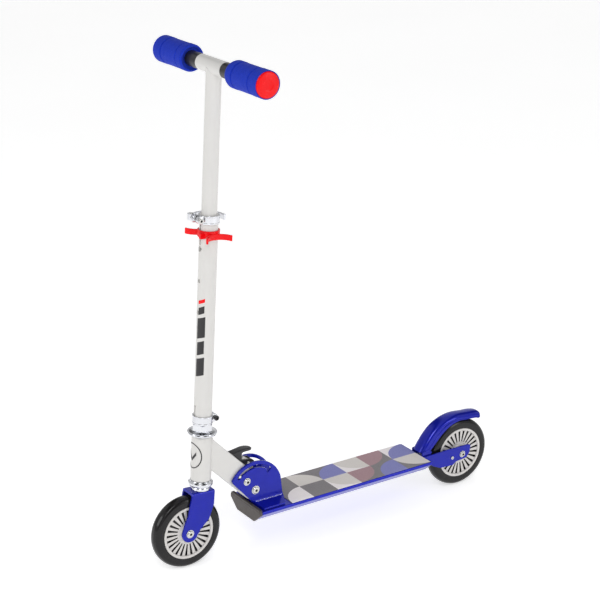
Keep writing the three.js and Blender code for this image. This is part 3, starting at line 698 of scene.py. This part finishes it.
def build_fender():
    """A pressed channel over the wheel: each station is an arch at one angle about the axle."""
    stations = [  # angle, crest radius, radius of the lower edge, height of the pressed step
        (14, 92.6, 77, 3.0), (18, 91, 73.5, 4), (24, 88.6, 70, 5), (30, 87, 67.5, 5.5), (36, 85.6, 66, 6),
        (42, 84.6, 65.4, 6), (48, 83.6, 65, 6), (54, 82.4, 65, 6), (60, 81.2, 65, 6), (66, 80.1, 65.1, 6),
        (72, 79, 65.2, 5.5), (78, 78, 65.3, 5), (84, 77, 65.4, 4.5), (90, 76.1, 65.3, 4),
        (96, 75.5, 65.2, 3.5), (102, 76, 65.4, 3), (107, 77.4, 66.2, 3), (112, 79, 67.6, 2.5),
        (117, 80.8, 69.8, 2), (121, 82, 72.4, 1.2), (123.4, 81.8, 75.4, 0.6),
    ]
    half, wall, crown, depth = 15.4, 1.7, 8.0, 1.1

    def arch(width, top, edge, step):
        """The section from one lower edge over the crest to the other: wall, pressed step, crown."""
        shoulder = top - crown
        ledge = min(edge + step, shoulder - 1.5)
        inset = width - depth
        side = [(width, edge), (width, ledge - 0.6), (width - depth * 0.5, ledge), (inset, ledge + 0.7),
                (inset, shoulder)]
        for degrees in range(15, 90, 15):
            a = math.radians(degrees)
            side.append((inset * math.cos(a) ** 0.8, shoulder + crown * math.sin(a)))
        side.append((0.0, shoulder + crown))
        return side + [(-y, r) for y, r in reversed(side[:-1])]

    rings = []
    for degrees, crest, edge, step in stations:
        a = math.radians(degrees)
        loop = arch(half, crest, edge, step) + arch(half - wall, crest - wall, edge, step)[::-1]
        rings.append([Vector((r * math.cos(a), y, WHEEL_R + r * math.sin(a))) for y, r in loop])
    shell = loft(rings)
    lug = [(88, 84.5), (74, 88), (66, 82), (72.5, 67, 4), (80, 64.5, 5), (86.8, 67, 4)]
    lugs = [slab(rounded(lug, 1.2), *span, "Y", [circle(BRAKE, 2.6, 24)], bevel=0.4)
            for span in ((half - wall - 0.1, half - 0.1), (0.1 - half, 0.1 + wall - half))]
    piece("brake_fender", merged(shell, *lugs), BASE, smooth=32)


# ---- wheels
def build_axle(name, where, centre, outer, head_r):
    screw = cap_screw(centre, 4, head_r, -outer - 5.5, outer + 2.7, 2.4, socket=2.4)
    washer = ring(4.2, head_r + 1.2, outer + 0.02, outer + 0.4, centre, "Y", 48, 0.15)
    piece(f"{name}_axle_bolt", merged(screw, washer), where, painted_shade=socket_of(centre, 2.4, outer + 2.7))
    piece(f"{name}_axle_nut", nut(centre, 4.3, 13, outer + 0.3, outer + 5), where)


def build_wheel(name, where, centre, phase):
    """A tyre on a slotted core. `phase` is the first slot's angle in degrees."""
    tread = symmetric([
        (43.4, -7, 0.2), (46.0, -7, 0.2), (46.0, -11, 0.4), (51.5, -11.3, 2), (56.5, -10.9, 5),
        (60.3, -8.6, 5), (WHEEL_R, -3.2, 7),
    ])
    piece(f"{name}_tyre", revolve(tread, centre, "Y", 144, steps=6), where)

    body = symmetric([
        (11.4, -12), (15.2, -12, 1), (16.6, -9.6, 1.2), (20.5, -9.3, 0.5), (40.4, -8.8, 1),
        (41.6, -11.3, 0.8), (45.8, -11.3, 0.6), (45.8, -7.2, 0.2), (43.1, -7.2, 0.2),
    ])
    disc = revolve(body, centre, "Y", 150, steps=3)
    slot = rounded([(20.4, -1.0), (40.8, -2.2), (40.8, 2.2), (20.4, 1.0)], 0.9, 4)
    slots = []
    for k in range(SLOTS):
        turn = Matrix.Rotation(math.radians(phase + k * 360 / SLOTS), 2)
        placed = [turn @ p + Vector((centre[0], centre[2])) for p in slot]
        slots += [cutter(placed, *span) for span in ((WEB, 13), (-13, -WEB))]
    core = bevelled(cut(disc, merged(*slots)), 0.3, 2, 50)

    def painted_slot_shade(at, normal):
        """Tells a slot's floor, which is the web, and its walls below the face, which are painted black as
        shade.
        """
        radius = math.hypot(at.x - centre[0], at.z - centre[2])
        floor = abs(abs(at.y) - WEB) < 0.05
        wall = abs(normal.y) < 0.2 and abs(at.y) < 8.4
        return 20.2 < radius < 41 and (floor or wall)

    piece(f"{name}_wheel_core", core, where, painted_shade=painted_slot_shade)

    races = merged(ring(9.3, 11.1, 5, 12, edge=0.3), ring(4.08, 6.2, 5, 12, edge=0.3),
                   ring(6.0, 9.5, 5.5, 11.3, edge=0.2))
    for axis, side in SIDES:
        bearing = moved(races, Matrix.Translation(centre) @ TURNS[axis])
        piece(f"{name}_bearing_{side}", bearing, where)


# ---- neck
def neck_point(along, up):
    """A point given along the neck from the pivot, and square to it."""
    c, s = math.cos(NECK_ANGLE), math.sin(NECK_ANGLE)
    return Vector((PIVOT[0] + along * c - up * s, PIVOT[1] + along * s + up * c))


def build_neck():
    angle = math.degrees(NECK_ANGLE)
    outline = [(*neck_point(100, -19.4), 9), (521, 157, 6), (541, 153, 0), (529, 231, 0),
               (*neck_point(140, 20.9), 2), (*neck_point(4, 20.9), 8)]
    outline += [(*p, 0) for p in arc(PIVOT, 19.5, angle + 108, angle + 268, 14)]
    stop_angle = math.degrees(math.atan2(STOP[1] - PIVOT[1], STOP[0] - PIVOT[0]))
    track = (STOP - PIVOT).length
    notch = arc(PIVOT, track + 4.5, -48, stop_angle, 16)
    notch += arc(STOP, 4.5, stop_angle, stop_angle + 180, 8)[1:-1]
    notch += arc(PIVOT, track - 4.5, stop_angle, -48, 16)
    body = slab(rounded(outline, 1.5, 5), -13, 13, "Y", bevel=1.6, rounds=3)
    tongue = [by_pin(-12.5, -21.5), by_pin(-9.4, -1.1, 4), by_pin(8.3, 12.7, 3), by_pin(14, 3),
              by_pin(2, -14.5)]
    lug = slab(rounded(tongue, 1, 5), -5, 5, "Y", [circle(LATCH, 2.8, 24)], bevel=0.8)
    head_space = moved(rod(17.35, 130, 240, segments=96), IN_COLUMN.inverted())
    body = cut(body, head_space, cutter(notch, -20, 20),
               rod(5.08, -20, 20, (PIVOT[0], 0, PIVOT[1]), "Y"))
    piece("neck", merged(body, lug), BASE)
    build_neck_weld()
    pins = [("fold_guide_pin", about_pivot(GUIDE_TRACK, 46.6), 17.6), ("latch_pin", LATCH, 8.6)]
    for name, at, half in pins:
        piece(name, rod(2.5, -half, half, (at[0], 0, at[1]), "Y", 32, 0.4), BASE)
    piece("latch_lever", latch_blade(), BASE)


def build_neck_weld():
    """A bead round the joint between the neck and the head tube."""
    top = IN_COLUMN @ Vector((*neck_point(132, 20.9), 0)).xzy
    low = IN_COLUMN @ Vector((*neck_point(100, -19), 0)).xzy
    steps, half, beside_neck, slope = 12, 12.4, 12.9, 1.04

    def on_tube(height, y):
        return Vector((-math.sqrt(HEAD_TUBE_R ** 2 - y ** 2), y, height))

    rim = []
    for k in range(steps + 1):
        y = half - 2 * half * k / steps
        rim.append(on_tube(top.z + slope * (on_tube(0, y).x - top.x) + 0.4, y))
    first, last = rim[0].z, rim[-1].z
    for k in range(1, steps):
        rim.append(on_tube(last + (low.z + 1 - last) * k / steps, -beside_neck))
    for k in range(steps + 1):
        rim.append(on_tube(low.z + 0.4, -half + 2 * half * k / steps))
    for k in range(1, steps):
        rim.append(on_tube(low.z + 1 + (first - low.z - 1) * k / steps, beside_neck))
    ripple = [Vector((p.x - 0.1 * math.sin(i * 2.1), p.y, p.z)) for i, p in enumerate(rim)]
    piece("neck_weld", pipe(ripple, 1.3, cyclic=True), COLUMN, beside="neck")


def by_pin(dx, dz, radius=None):
    """An outline's point, given from the latch pin."""
    at = (LATCH[0] + dx, LATCH[1] + dz)
    return at if radius is None else (*at, radius)


def latch_blade():
    """The lever straddles the lug: two cheeks on its pin, bridged by a thumb paddle."""
    pin = (LATCH[0], 0, LATCH[1])
    boss = [(*p, 0) for p in arc(LATCH, 6.3, 235, 316, 12)]
    leg = [neck_point(72, 21.8), (462, 178), (455.5, 176.8), (457.4, 172, 3), by_pin(12.6, 8.3, 3),
           by_pin(4, 6.5, 4), by_pin(-6, 5.7, 4), by_pin(-11.4, 1.1, 3.5), by_pin(-12.2, -5.1, 3), *boss]
    cheeks = cut(slab(rounded(leg, 0.6, 5), -8, 8, "Y", bevel=0.7),
                 rod(17.5, -5.4, 5.4, pin, "Y", 64), rod(2.6, -20, 20, pin, "Y"))
    # the paddle, from its tip to the neck: x, half width, underside, top
    stations = [
        (434.2, 1.0, 178.6, 180.0), (434.6, 2.6, 177.9, 180.9), (435.6, 3.9, 177.4, 181.6),
        (437.4, 5.2, 177.1, 182.3), (440.5, 6.6, 177.3, 183.0), (444.5, 7.6, 177.7, 183.5),
        (449.0, 8.0, 178.0, 183.8), (453.5, 8.0, 177.7, 183.7), (458.0, 8.0, 173.8, 183.3),
        (462.5, 8.0, 172.9, 182.7), (467.0, 8.0, 172.4, 182.0), (471.0, 8.0, 176.4, 181.0),
        (474.2, 8.0, 179.5, 180.2),
    ]
    squareness, steps = 0.45, 36

    def swung(size, wave):
        return math.copysign(size * abs(wave) ** squareness, wave)

    rings = []
    for x, half, under, top in stations:
        middle, tall = (under + top) / 2, (top - under) / 2
        angles = [2 * math.pi * k / steps for k in range(steps)]
        rings.append([(x, swung(half, math.cos(a)), middle + swung(tall, math.sin(a))) for a in angles])
    return merged(cheeks, loft(rings))


def build_head():
    piece("head_tube", ring(15, HEAD_TUBE_R, 149.3, 225.7, edge=0.6), COLUMN)
    bore = 12.28
    upper = [(bore, 226), (17.6, 226, 0.5), (20.5, 227.6, 2), (24.3, 230.2, 0.8), (24.8, 232, 0.6),
             (24.2, 234.2, 0.8), (22.4, 233.6, 1.5), (17.4, 235.4, 1.2), (bore, 235.4)]
    piece("headset_upper_cup", revolve(upper, segments=120), COLUMN)
    lower = [(bore, 139.6), (19.4, 139.6, 0.8), (20.5, 141.6, 0.8), (20.5, 145, 0.8), (18.2, 147.2, 1),
             (17.6, 149, 0.4), (bore, 149)]
    piece("headset_lower_cup", revolve(lower, segments=120), COLUMN)
    piece("head_badge", head_badge(), COLUMN)


def wrapped(grid, radius, thickness=0.12, height=0.0, closed=False):
    """A thin label on a tube about z. grid is rows of (arc length, height) points."""
    bm = bmesh.new()
    layers = []
    for r in (radius, radius + thickness):
        layer = []
        for row in grid:
            turns = [(u / radius, v + height) for u, v in row]
            layer.append([bm.verts.new((r * math.cos(a), r * math.sin(a), z)) for a, z in turns])
        layers.append(layer)
    inner, outer = layers
    rows, columns = len(grid), len(grid[0])
    for i in range(rows - 1):
        for j in range(columns - 1):
            bm.faces.new((outer[i][j], outer[i][j + 1], outer[i + 1][j + 1], outer[i + 1][j]))
            bm.faces.new((inner[i][j], inner[i + 1][j], inner[i + 1][j + 1], inner[i][j + 1]))
    for j in range(columns - 1):
        for i in (0, rows - 1):
            bm.faces.new((inner[i][j], inner[i][j + 1], outer[i][j + 1], outer[i][j]))
    for i in range(0 if closed else rows - 1):
        for j in (0, columns - 1):
            bm.faces.new((inner[i][j], inner[i + 1][j], outer[i + 1][j], outer[i][j]))
    return as_mesh(bm)


def bar(low_left, low_right, high_right, high_left, rows=6, columns=10):
    """A grid over a four-sided shape, for `wrapped`."""
    corners = [Vector(p) for p in (low_left, low_right, high_right, high_left)]
    grid = []
    for i in range(rows + 1):
        left = corners[0].lerp(corners[3], i / rows)
        right = corners[1].lerp(corners[2], i / rows)
        grid.append([left.lerp(right, j / columns) for j in range(columns + 1)])
    return grid


def head_badge():
    """A plain ring with a chevron in it."""
    on, thick, middle = HEAD_TUBE_R + 0.05, 0.25, 193.5
    angles = [2 * math.pi * k / 96 for k in range(97)]
    rim = [[(w * math.cos(a), h * math.sin(a)) for a in angles] for w, h in ((17.2, 20.4), (19, 22.2))]
    arms = [bar((side * 0.5, -9), (side * 9, 2), (side * 9, 8), (side * 0.5, -3)) for side in (1, -1)]
    oval = wrapped(rim, on, thick, middle, closed=True)
    return merged(oval, *(wrapped(arm, on, thick, middle) for arm in arms))


# ---- fork and steering tube
def build_fork():
    outline = [(-18.6, 131.5, 0.5), (-17.8, 106, 12), (-9.5, 81.5, 10), (6.5, 65, 10), (12.6, 55, 3)]
    outline += [(p[0], p[1], 0) for p in arc((AXLE.x, AXLE.z), 14.7, 205, 372, 28)]
    outline += [(36, 78, 12), (29.5, 94, 20), (27.6, 108, 12), (23.2, 131.5, 0.5)]
    side_view = cutter(rounded(outline, 0.5, 5), -16, 16)
    half, inside, bend, bend_inside = 15.7, 12.7, 3.2, 1.6
    outer = rounded([(-half, 20, 0), (half, 20, 0), (half, 131.5, bend), (-half, 131.5, bend)], 0, 6)
    top = [(inside, 127.6, bend_inside), (-inside, 127.6, bend_inside)]
    inner = rounded([(-inside, 10, 0), (inside, 10, 0), *top], 0, 5)
    shell = combined(side_view, cutter(outer, -60, 80, "X"), operation="INTERSECT")
    shell = cut(shell, cutter(inner, -70, 90, "X"), rod(4.3, -30, 30, AXLE, "Y"))
    piece("fork", bevelled(shell, 0.5, 3, 50), COLUMN)
    piece("steerer", ring(10, 12.2, 131.8, 285, edge=0.4), COLUMN)
    race = [(12.6, 131.8), (16, 131.8, 0.6), (15.4, 135.5, 1), (13.2, 139.3), (12.6, 139.3)]
    piece("crown_race", revolve(race), COLUMN)
    build_axle("front", COLUMN, tuple(AXLE), half, 5.9)

    prism = slab(rounded(circle((0, 0), 31 / math.sqrt(3), 6), 0.8), 234, 250, "Z", bevel=0.3)
    chamfer = revolve([(12.6, 236), (16.2, 236, 0.3), (18, 237.4, 0), (18, 246.2, 0), (16.2, 247.6, 0.3),
                       (12.6, 247.6)])
    piece("headset_locknut", combined(chamfer, prism, operation="INTERSECT"), COLUMN)


def clamp_collar(low, high):
    """A split collar with two ears in front, and a thicker rim at each end."""
    middle = (low + high) / 2
    bore, rim, waist = 15.3, 17.3, 16.9
    band = revolve([(bore, low), (rim, low), (rim, low + 2.2, 0.2), (waist, low + 2.6, 0.2),
                    (waist, high - 2.6, 0.2), (rim, high - 2.2, 0.2), (rim, high), (bore, high)],
                   segments=96, radius=0.5)
    foot, top = low + 0.4, high - 0.4
    ear = rounded([(13, foot), (22, foot, 4), (26, middle, 4), (22, top, 4), (13, top)], 0.8, 5)
    ears = cut(slab(ear, -8, 8, "Y", bevel=0.9), rod(16.2, low - 2, high + 2, segments=90))
    slit = block((8, -1.3, low - 2), (40, 1.3, high + 2))
    return cut(combined(band, ears), slit, rod(2.8, -20, 20, (20.5, 0, middle), "Y", 24))


def build_steering_tube():
    shell = ring(TUBE_BORE, TUBE_R, TUBE_LOW, TUBE_HIGH, segments=120, edge=0.4)
    upper_end, lower_end = 551, 278.4  # the round ends of the two clamping slits
    tools = [block((5, -1.5, upper_end), (30, 1.5, 610)), block((5, -1.3, 240), (30, 1.3, lower_end))]
    tools += [rod(3.6, 5, 30, (0, 0, BUTTON_S - k * SETTING_STEP), "X", 32) for k in range(3)]
    tools += [rod(r, 5, 30, (0, 0, end), "X", 24) for r, end in ((1.9, upper_end), (2.0, lower_end))]
    piece("steering_tube", bevelled(cut(shell, *tools), 0.25, 2, 50), COLUMN, smooth=30)

    # black strips inside the slits as painted shade, which would otherwise show the white stem
    for name, low, high in (("upper", 552, 597), ("lower", 248.6, 277.5)):
        strip = slab(oblong(low, high, 1.4), 12.62, 13.2, "Z", bevel=0.1, rounds=1)
        piece(f"slot_shim_{name}", moved(strip, TURNS["X"] @ MIRROR_X), COLUMN,
              beside="steering_tube", material="black_plastic")
    build_clamps()
    build_clip()
    build_clamp_lever()
    build_tube_stripes()
    build_button_rim()


def build_clamps():
    piece("lower_clamp", moved(clamp_collar(248.2, 262), MIRROR_X), COLUMN)
    lower = cap_screw((-20.5, 0, 255.1), 2.5, 4.2, -8, 11.8, 3.5, socket=2.2, dome=0.5)
    # the whole screw head, past y 8.6, is painted black as shade
    piece("lower_clamp_screw", lower, COLUMN, painted_shade=lambda at, normal: at.y > 8.6)
    piece("top_clamp", clamp_collar(584, 597.8), COLUMN)
    upper = cap_screw(tuple(CLAMP_BOLT), 2.5, 4.2, -12.8, 12.2, 3.9, socket=2.2, dome=0.5)
    piece("top_clamp_screw", upper, COLUMN, painted_shade=socket_of(CLAMP_BOLT, 2.2, 12.2))
    saddle = [(2.8, 8.3), (5.2, 8.3), (5.2, 9.4), (7.2, 9.6), (7.2, 11.4), (6.2, 11.5), (6.2, 12.4),
              (2.8, 12.6)]
    washer = revolve(saddle, tuple(CLAMP_BOLT), "-Y", 48, 0.3)
    piece("top_clamp_saddle", cut(washer, rod(17.6, 580, 600)), COLUMN)


def build_button_rim():
    """A bright wire rim round the height button's hole, lying on the tube."""
    radius, steps = 4.1, 48
    rim = []
    for k in range(steps):
        a = 2 * math.pi * k / steps
        y = radius * math.cos(a)
        rim.append((math.sqrt((TUBE_R + 0.05) ** 2 - y ** 2), y, BUTTON_S + radius * math.sin(a)))
    piece("button_rim", pipe(rim, 0.55, cyclic=True), COLUMN, beside="steering_tube", material="steel")


def build_clip():
    """The red clip: a ring on the tube with a shallow cradle for a grip on each side."""
    low, high = CLIP_LOW, CLIP_HIGH
    band = ring(15.3, 18, low, high, segments=96, edge=0.8)
    reach, inner, outer = 33.5, 21.9, 24.7  # of the cradles
    arms = []
    for side in (1, -1):
        centre = (0, side * (outer + 16.2))
        spread = [math.degrees(math.acos((abs(centre[1]) - reach) / r)) for r in (inner, outer)]
        middle = -90 if side == 1 else 90
        outline = arc(centre, outer, middle - spread[1], middle + spread[1], 40)
        outline += arc(centre, inner, middle + spread[0], middle - spread[0], 40)
        cradle = [(*p, 0.8 if i in (0, 40, 41, 81) else 0) for i, p in enumerate(outline)]
        arms.append(slab(rounded(cradle, 0, 3), low - 2.3, high - 4.2, "Z", bevel=0.7))
        for turn in (-1, 1):
            tip = arc(centre, inner + 1.1, middle + turn * spread[0], 0, 1)[0]
            arms.append(slab(circle(tip, 1.8, 20), low - 2.2, high - 4.3, "Z", bevel=0.6))
    tab = slab(rounded([(14, 4.5), (20.9, 4.8), (20.9, 11.6), (12, 12)], 1.2), 561.6, 571, "Z", bevel=0.7)
    around = cut(combined(arms[0], *arms[1:], tab), rod(16.6, 540, 600, segments=90))
    piece("grip_clip", combined(band, around), COLUMN)


def build_clamp_lever():
    """A cast cam with a curved finger arm that wraps round the far side of the tube."""
    pin_at, bend = (20.5, -20, 0), (0, -2)
    cam = ring(3.08, 6.4, 585.6, 596.2, pin_at, segments=64, edge=0.6)
    tip = [Vector((-28.6, 3)), Vector((-26.6, 7.2)), Vector((-23.6, 5.4))]
    outline = arc(bend, 27.6, -46, -180, 26) + tip + arc(bend, 24, -186, -46, 26)
    arm = slab(rounded(outline, 0.8, 3), 586.2, 595.6, "Z", bevel=0.8, rounds=3)
    rib = slab(arc(bend, 28.2, -60, -165, 22) + arc(bend, 25, -165, -60, 22), 589.6, 592.2, "Z", bevel=0.6)
    lever = combined(cam, cut(combined(arm, rib), rod(4.6, 580, 600, pin_at, segments=40)))
    piece("clamp_lever", lever, COLUMN)
    piece("clamp_lever_pin", rod(3, 584.8, 597, pin_at, segments=32, edge=0.5), COLUMN)


def build_tube_stripes():
    """Plain slanted bars printed along the tube, with one red accent."""
    facing = math.radians(28) * TUBE_R
    slant = 5

    def label(low, tall, wide):
        left, right = facing - wide / 2, facing + wide / 2
        grid = bar((left, low), (right, low + slant), (right, low + tall + slant), (left, low + tall))
        return wrapped(grid, TUBE_R + 0.02, 0.08)

    bars = [label(330, 30, 15), label(366, 22, 13), label(394, 34, 15), label(434, 12, 11)]
    for name, mesh, material in (("tube_stripes", merged(*bars), "black_plastic"),
                                 ("tube_accent", label(452, 6, 12), "red_plastic")):
        piece(name, mesh, COLUMN, beside="steering_tube", material=material)


# ---- handlebar
def build_handlebar():
    stem = ring(10.5, STEM_R, 420, BAR_S, segments=120, edge=0.3)
    cross_space = rod(12.8, -60, 60, (0, 0, BAR_S), "Y", 96)
    piece("stem", cut(stem, cross_space, rod(3.4, 5, 30, (0, 0, BUTTON_S), "X", 32)), COLUMN, smooth=30)
    piece("crossbar", ring(11.22, 12.7, -36, 36, (0, 0, BAR_S), "Y", 96, 0.5), COLUMN)
    # the weld bead where the stem meets the crossbar
    seam = []
    for k in range(72):
        a = 2 * math.pi * k / 72
        x, y = (STEM_R + 0.1) * math.cos(a), (STEM_R + 0.1) * math.sin(a)
        drop = math.sqrt(max(12.75 ** 2 - x ** 2, 0.5))
        seam.append((x, y, BAR_S - drop - 0.1 * math.sin(9 * a)))
    piece("stem_weld", pipe(seam, 1.0, cyclic=True), COLUMN, beside="stem")
    button = revolve([(0, 8, 0), (3.2, 8), (3.2, 12.2, 0.9), (0, 12.5, 0)], (0, 0, BUTTON_S), "X", 48, 0.3)
    piece("height_button", button, COLUMN)


def build_handles():
    """Each handle is a core tube, a foam grip with two grooves, and a cap let into the grip's end."""
    core = [(5, 2.5), (11.15, 2.5), (11.15, 36.3, 0.1), (12.5, 36.3), (12.5, GRIP_END), (5, GRIP_END)]
    start, end, radius = GRIP_START, GRIP_END, GRIP_R
    groove, waist = radius - 2.2, radius - 0.4
    grip = [
        (12.8, start + 4, 0), (15, start + 3.6, 1), (18.4, start, 1.4), (20.2, start + 0.2, 2),
        (radius, start + 4.5, 4), (radius, start + 17.5, 0.8), (groove, start + 18.6, 0.6),
        (groove, start + 19.4, 0.6), (waist, start + 20.6, 0.8), (waist, end - 22.4, 0.8),
        (groove, end - 21.2, 0.6), (groove, end - 20.4, 0.6), (radius, end - 19.2, 0.8),
        (radius, end + 2.2, 1.3), (radius - 1.2, end + 2.4, 0.5), (radius - 1.5, end, 0.1), (12.8, end, 0),
    ]
    rim = radius - 1.7
    cap = [
        (0, 128, 0), (4.6, 128), (4.6, end + 0.3), (rim, end + 0.3, 0.3), (rim, end + 2.4, 1),
        (radius - 4, end + 3.7, 4), (9, end + 4.4, 3), (7.6, end + 3.9, 1), (2.2, end + 3.7, 1),
        (0, end + 4, 0),
    ]
    centre = (0, 0, BAR_S)
    for axis, side in SIDES:
        piece(f"handle_core_{side}", revolve(core, centre, axis, 96, 0.5), COLUMN)
        piece(f"grip_{side}", revolve(grip, centre, axis, 120, steps=4), COLUMN)
        piece(f"end_cap_{side}", revolve(cap, centre, axis, 96, 0.4, 5), COLUMN)


# ---- studio
def build_studio():
    floor = block((-6000, -6000, -20), (6000, 6000, 0))
    floor.transform(Matrix.Scale(MM, 4))
    nodes = new_material("studio_floor")
    nodes.shader.inputs["Roughness"].default_value = 0.7
    nodes.shader.inputs["Emission Color"].default_value = (1, 1, 1, 1)
    nodes.shader.inputs["Emission Strength"].default_value = 0.5
    nodes.colour(nodes.ramp(nodes.noise(2), [(0.3, (0.93, 0.93, 0.93)), (0.7, (0.95, 0.95, 0.95))]))
    floor.materials.append(nodes.owner)
    plane = bpy.data.objects.new("floor", floor)
    bpy.context.scene.collection.objects.link(plane)

    build_world()
    for name, place, size, power in (
        ("key", (1.5, 2.2, 2.6), 1.2, 30),
        ("side", (-1.4, 2.4, 1.2), 0.9, 12),
        ("front", (2.8, -0.2, 1.3), 0.9, 12),
    ):
        light = bpy.data.lights.new(name, "AREA")
        light.shape = "RECTANGLE"
        light.size = size
        light.size_y = size * 1.4
        light.energy = power
        lamp = bpy.data.objects.new(name, light)
        lamp.location = place
        aim = Vector((0.05, 0, 0.35)) - lamp.location
        lamp.rotation_euler = aim.to_track_quat("-Z", "Y").to_euler()
        bpy.context.scene.collection.objects.link(lamp)


def build_world():
    """A white room with soft darker panels, which give the metal something to reflect."""
    world = bpy.data.worlds.new("studio")
    bpy.context.scene.world = world
    nodes = Nodes(world, "Background", "Generated")
    across = nodes.tree.nodes.new("ShaderNodeVectorMath")
    across.operation = "DOT_PRODUCT"
    across.inputs[1].default_value = (-0.836, 0.549, 0)  # to the right, as the camera sees it
    nodes.link(nodes.place, across.inputs[0])
    spread = nodes.tree.nodes.new("ShaderNodeMapRange")
    spread.inputs["From Min"].default_value = -1
    nodes.link(across.outputs["Value"], spread.inputs["Value"])
    panels = [(0.0, 0.8), (0.2, 1.2), (0.27, 0.1), (0.34, 0.1), (0.42, 1.1), (0.6, 1.2), (0.68, 0.06),
              (0.76, 0.06), (0.84, 1.3), (1.0, 0.8)]
    nodes.colour(nodes.ramp(spread.outputs["Result"], panels), "Color")
    nodes.shader.inputs["Strength"].default_value = 0.62


def build_camera():
    azimuth, elevation, roll = math.radians(146.7), math.radians(20.06), math.radians(-0.21)
    target, distance = Vector((54.33, 0, 419.49)), 2940.72
    level = math.cos(elevation)
    back = Vector((math.sin(azimuth) * level, -math.cos(azimuth) * level, math.sin(elevation)))
    right = (-back).cross(Vector((0, 0, 1))).normalized()
    up = right.cross(-back)
    x_axis = right * math.cos(roll) + up * math.sin(roll)
    y_axis = up * math.cos(roll) - right * math.sin(roll)
    data = bpy.data.cameras.new("camera")
    data.sensor_width = 36
    data.lens = 107.57
    camera = bpy.data.objects.new("camera", data)
    turn = Matrix((x_axis, y_axis, back)).transposed().to_4x4()
    camera.matrix_world = Matrix.Translation((target + back * distance) * MM) @ turn
    bpy.context.scene.collection.objects.link(camera)
    bpy.context.scene.camera = camera
    bpy.context.scene.view_settings.view_transform = "Standard"


build_deck()
build_tape()
build_fold_bracket()
build_rear_fork()
build_fender()
build_wheel("rear", BASE, (0, 0, WHEEL_R), 3.5)
build_neck()
build_head()
build_fork()
build_wheel("front", COLUMN, tuple(AXLE), 0.3)
build_steering_tube()
build_handlebar()
build_handles()
build_studio()
build_camera()
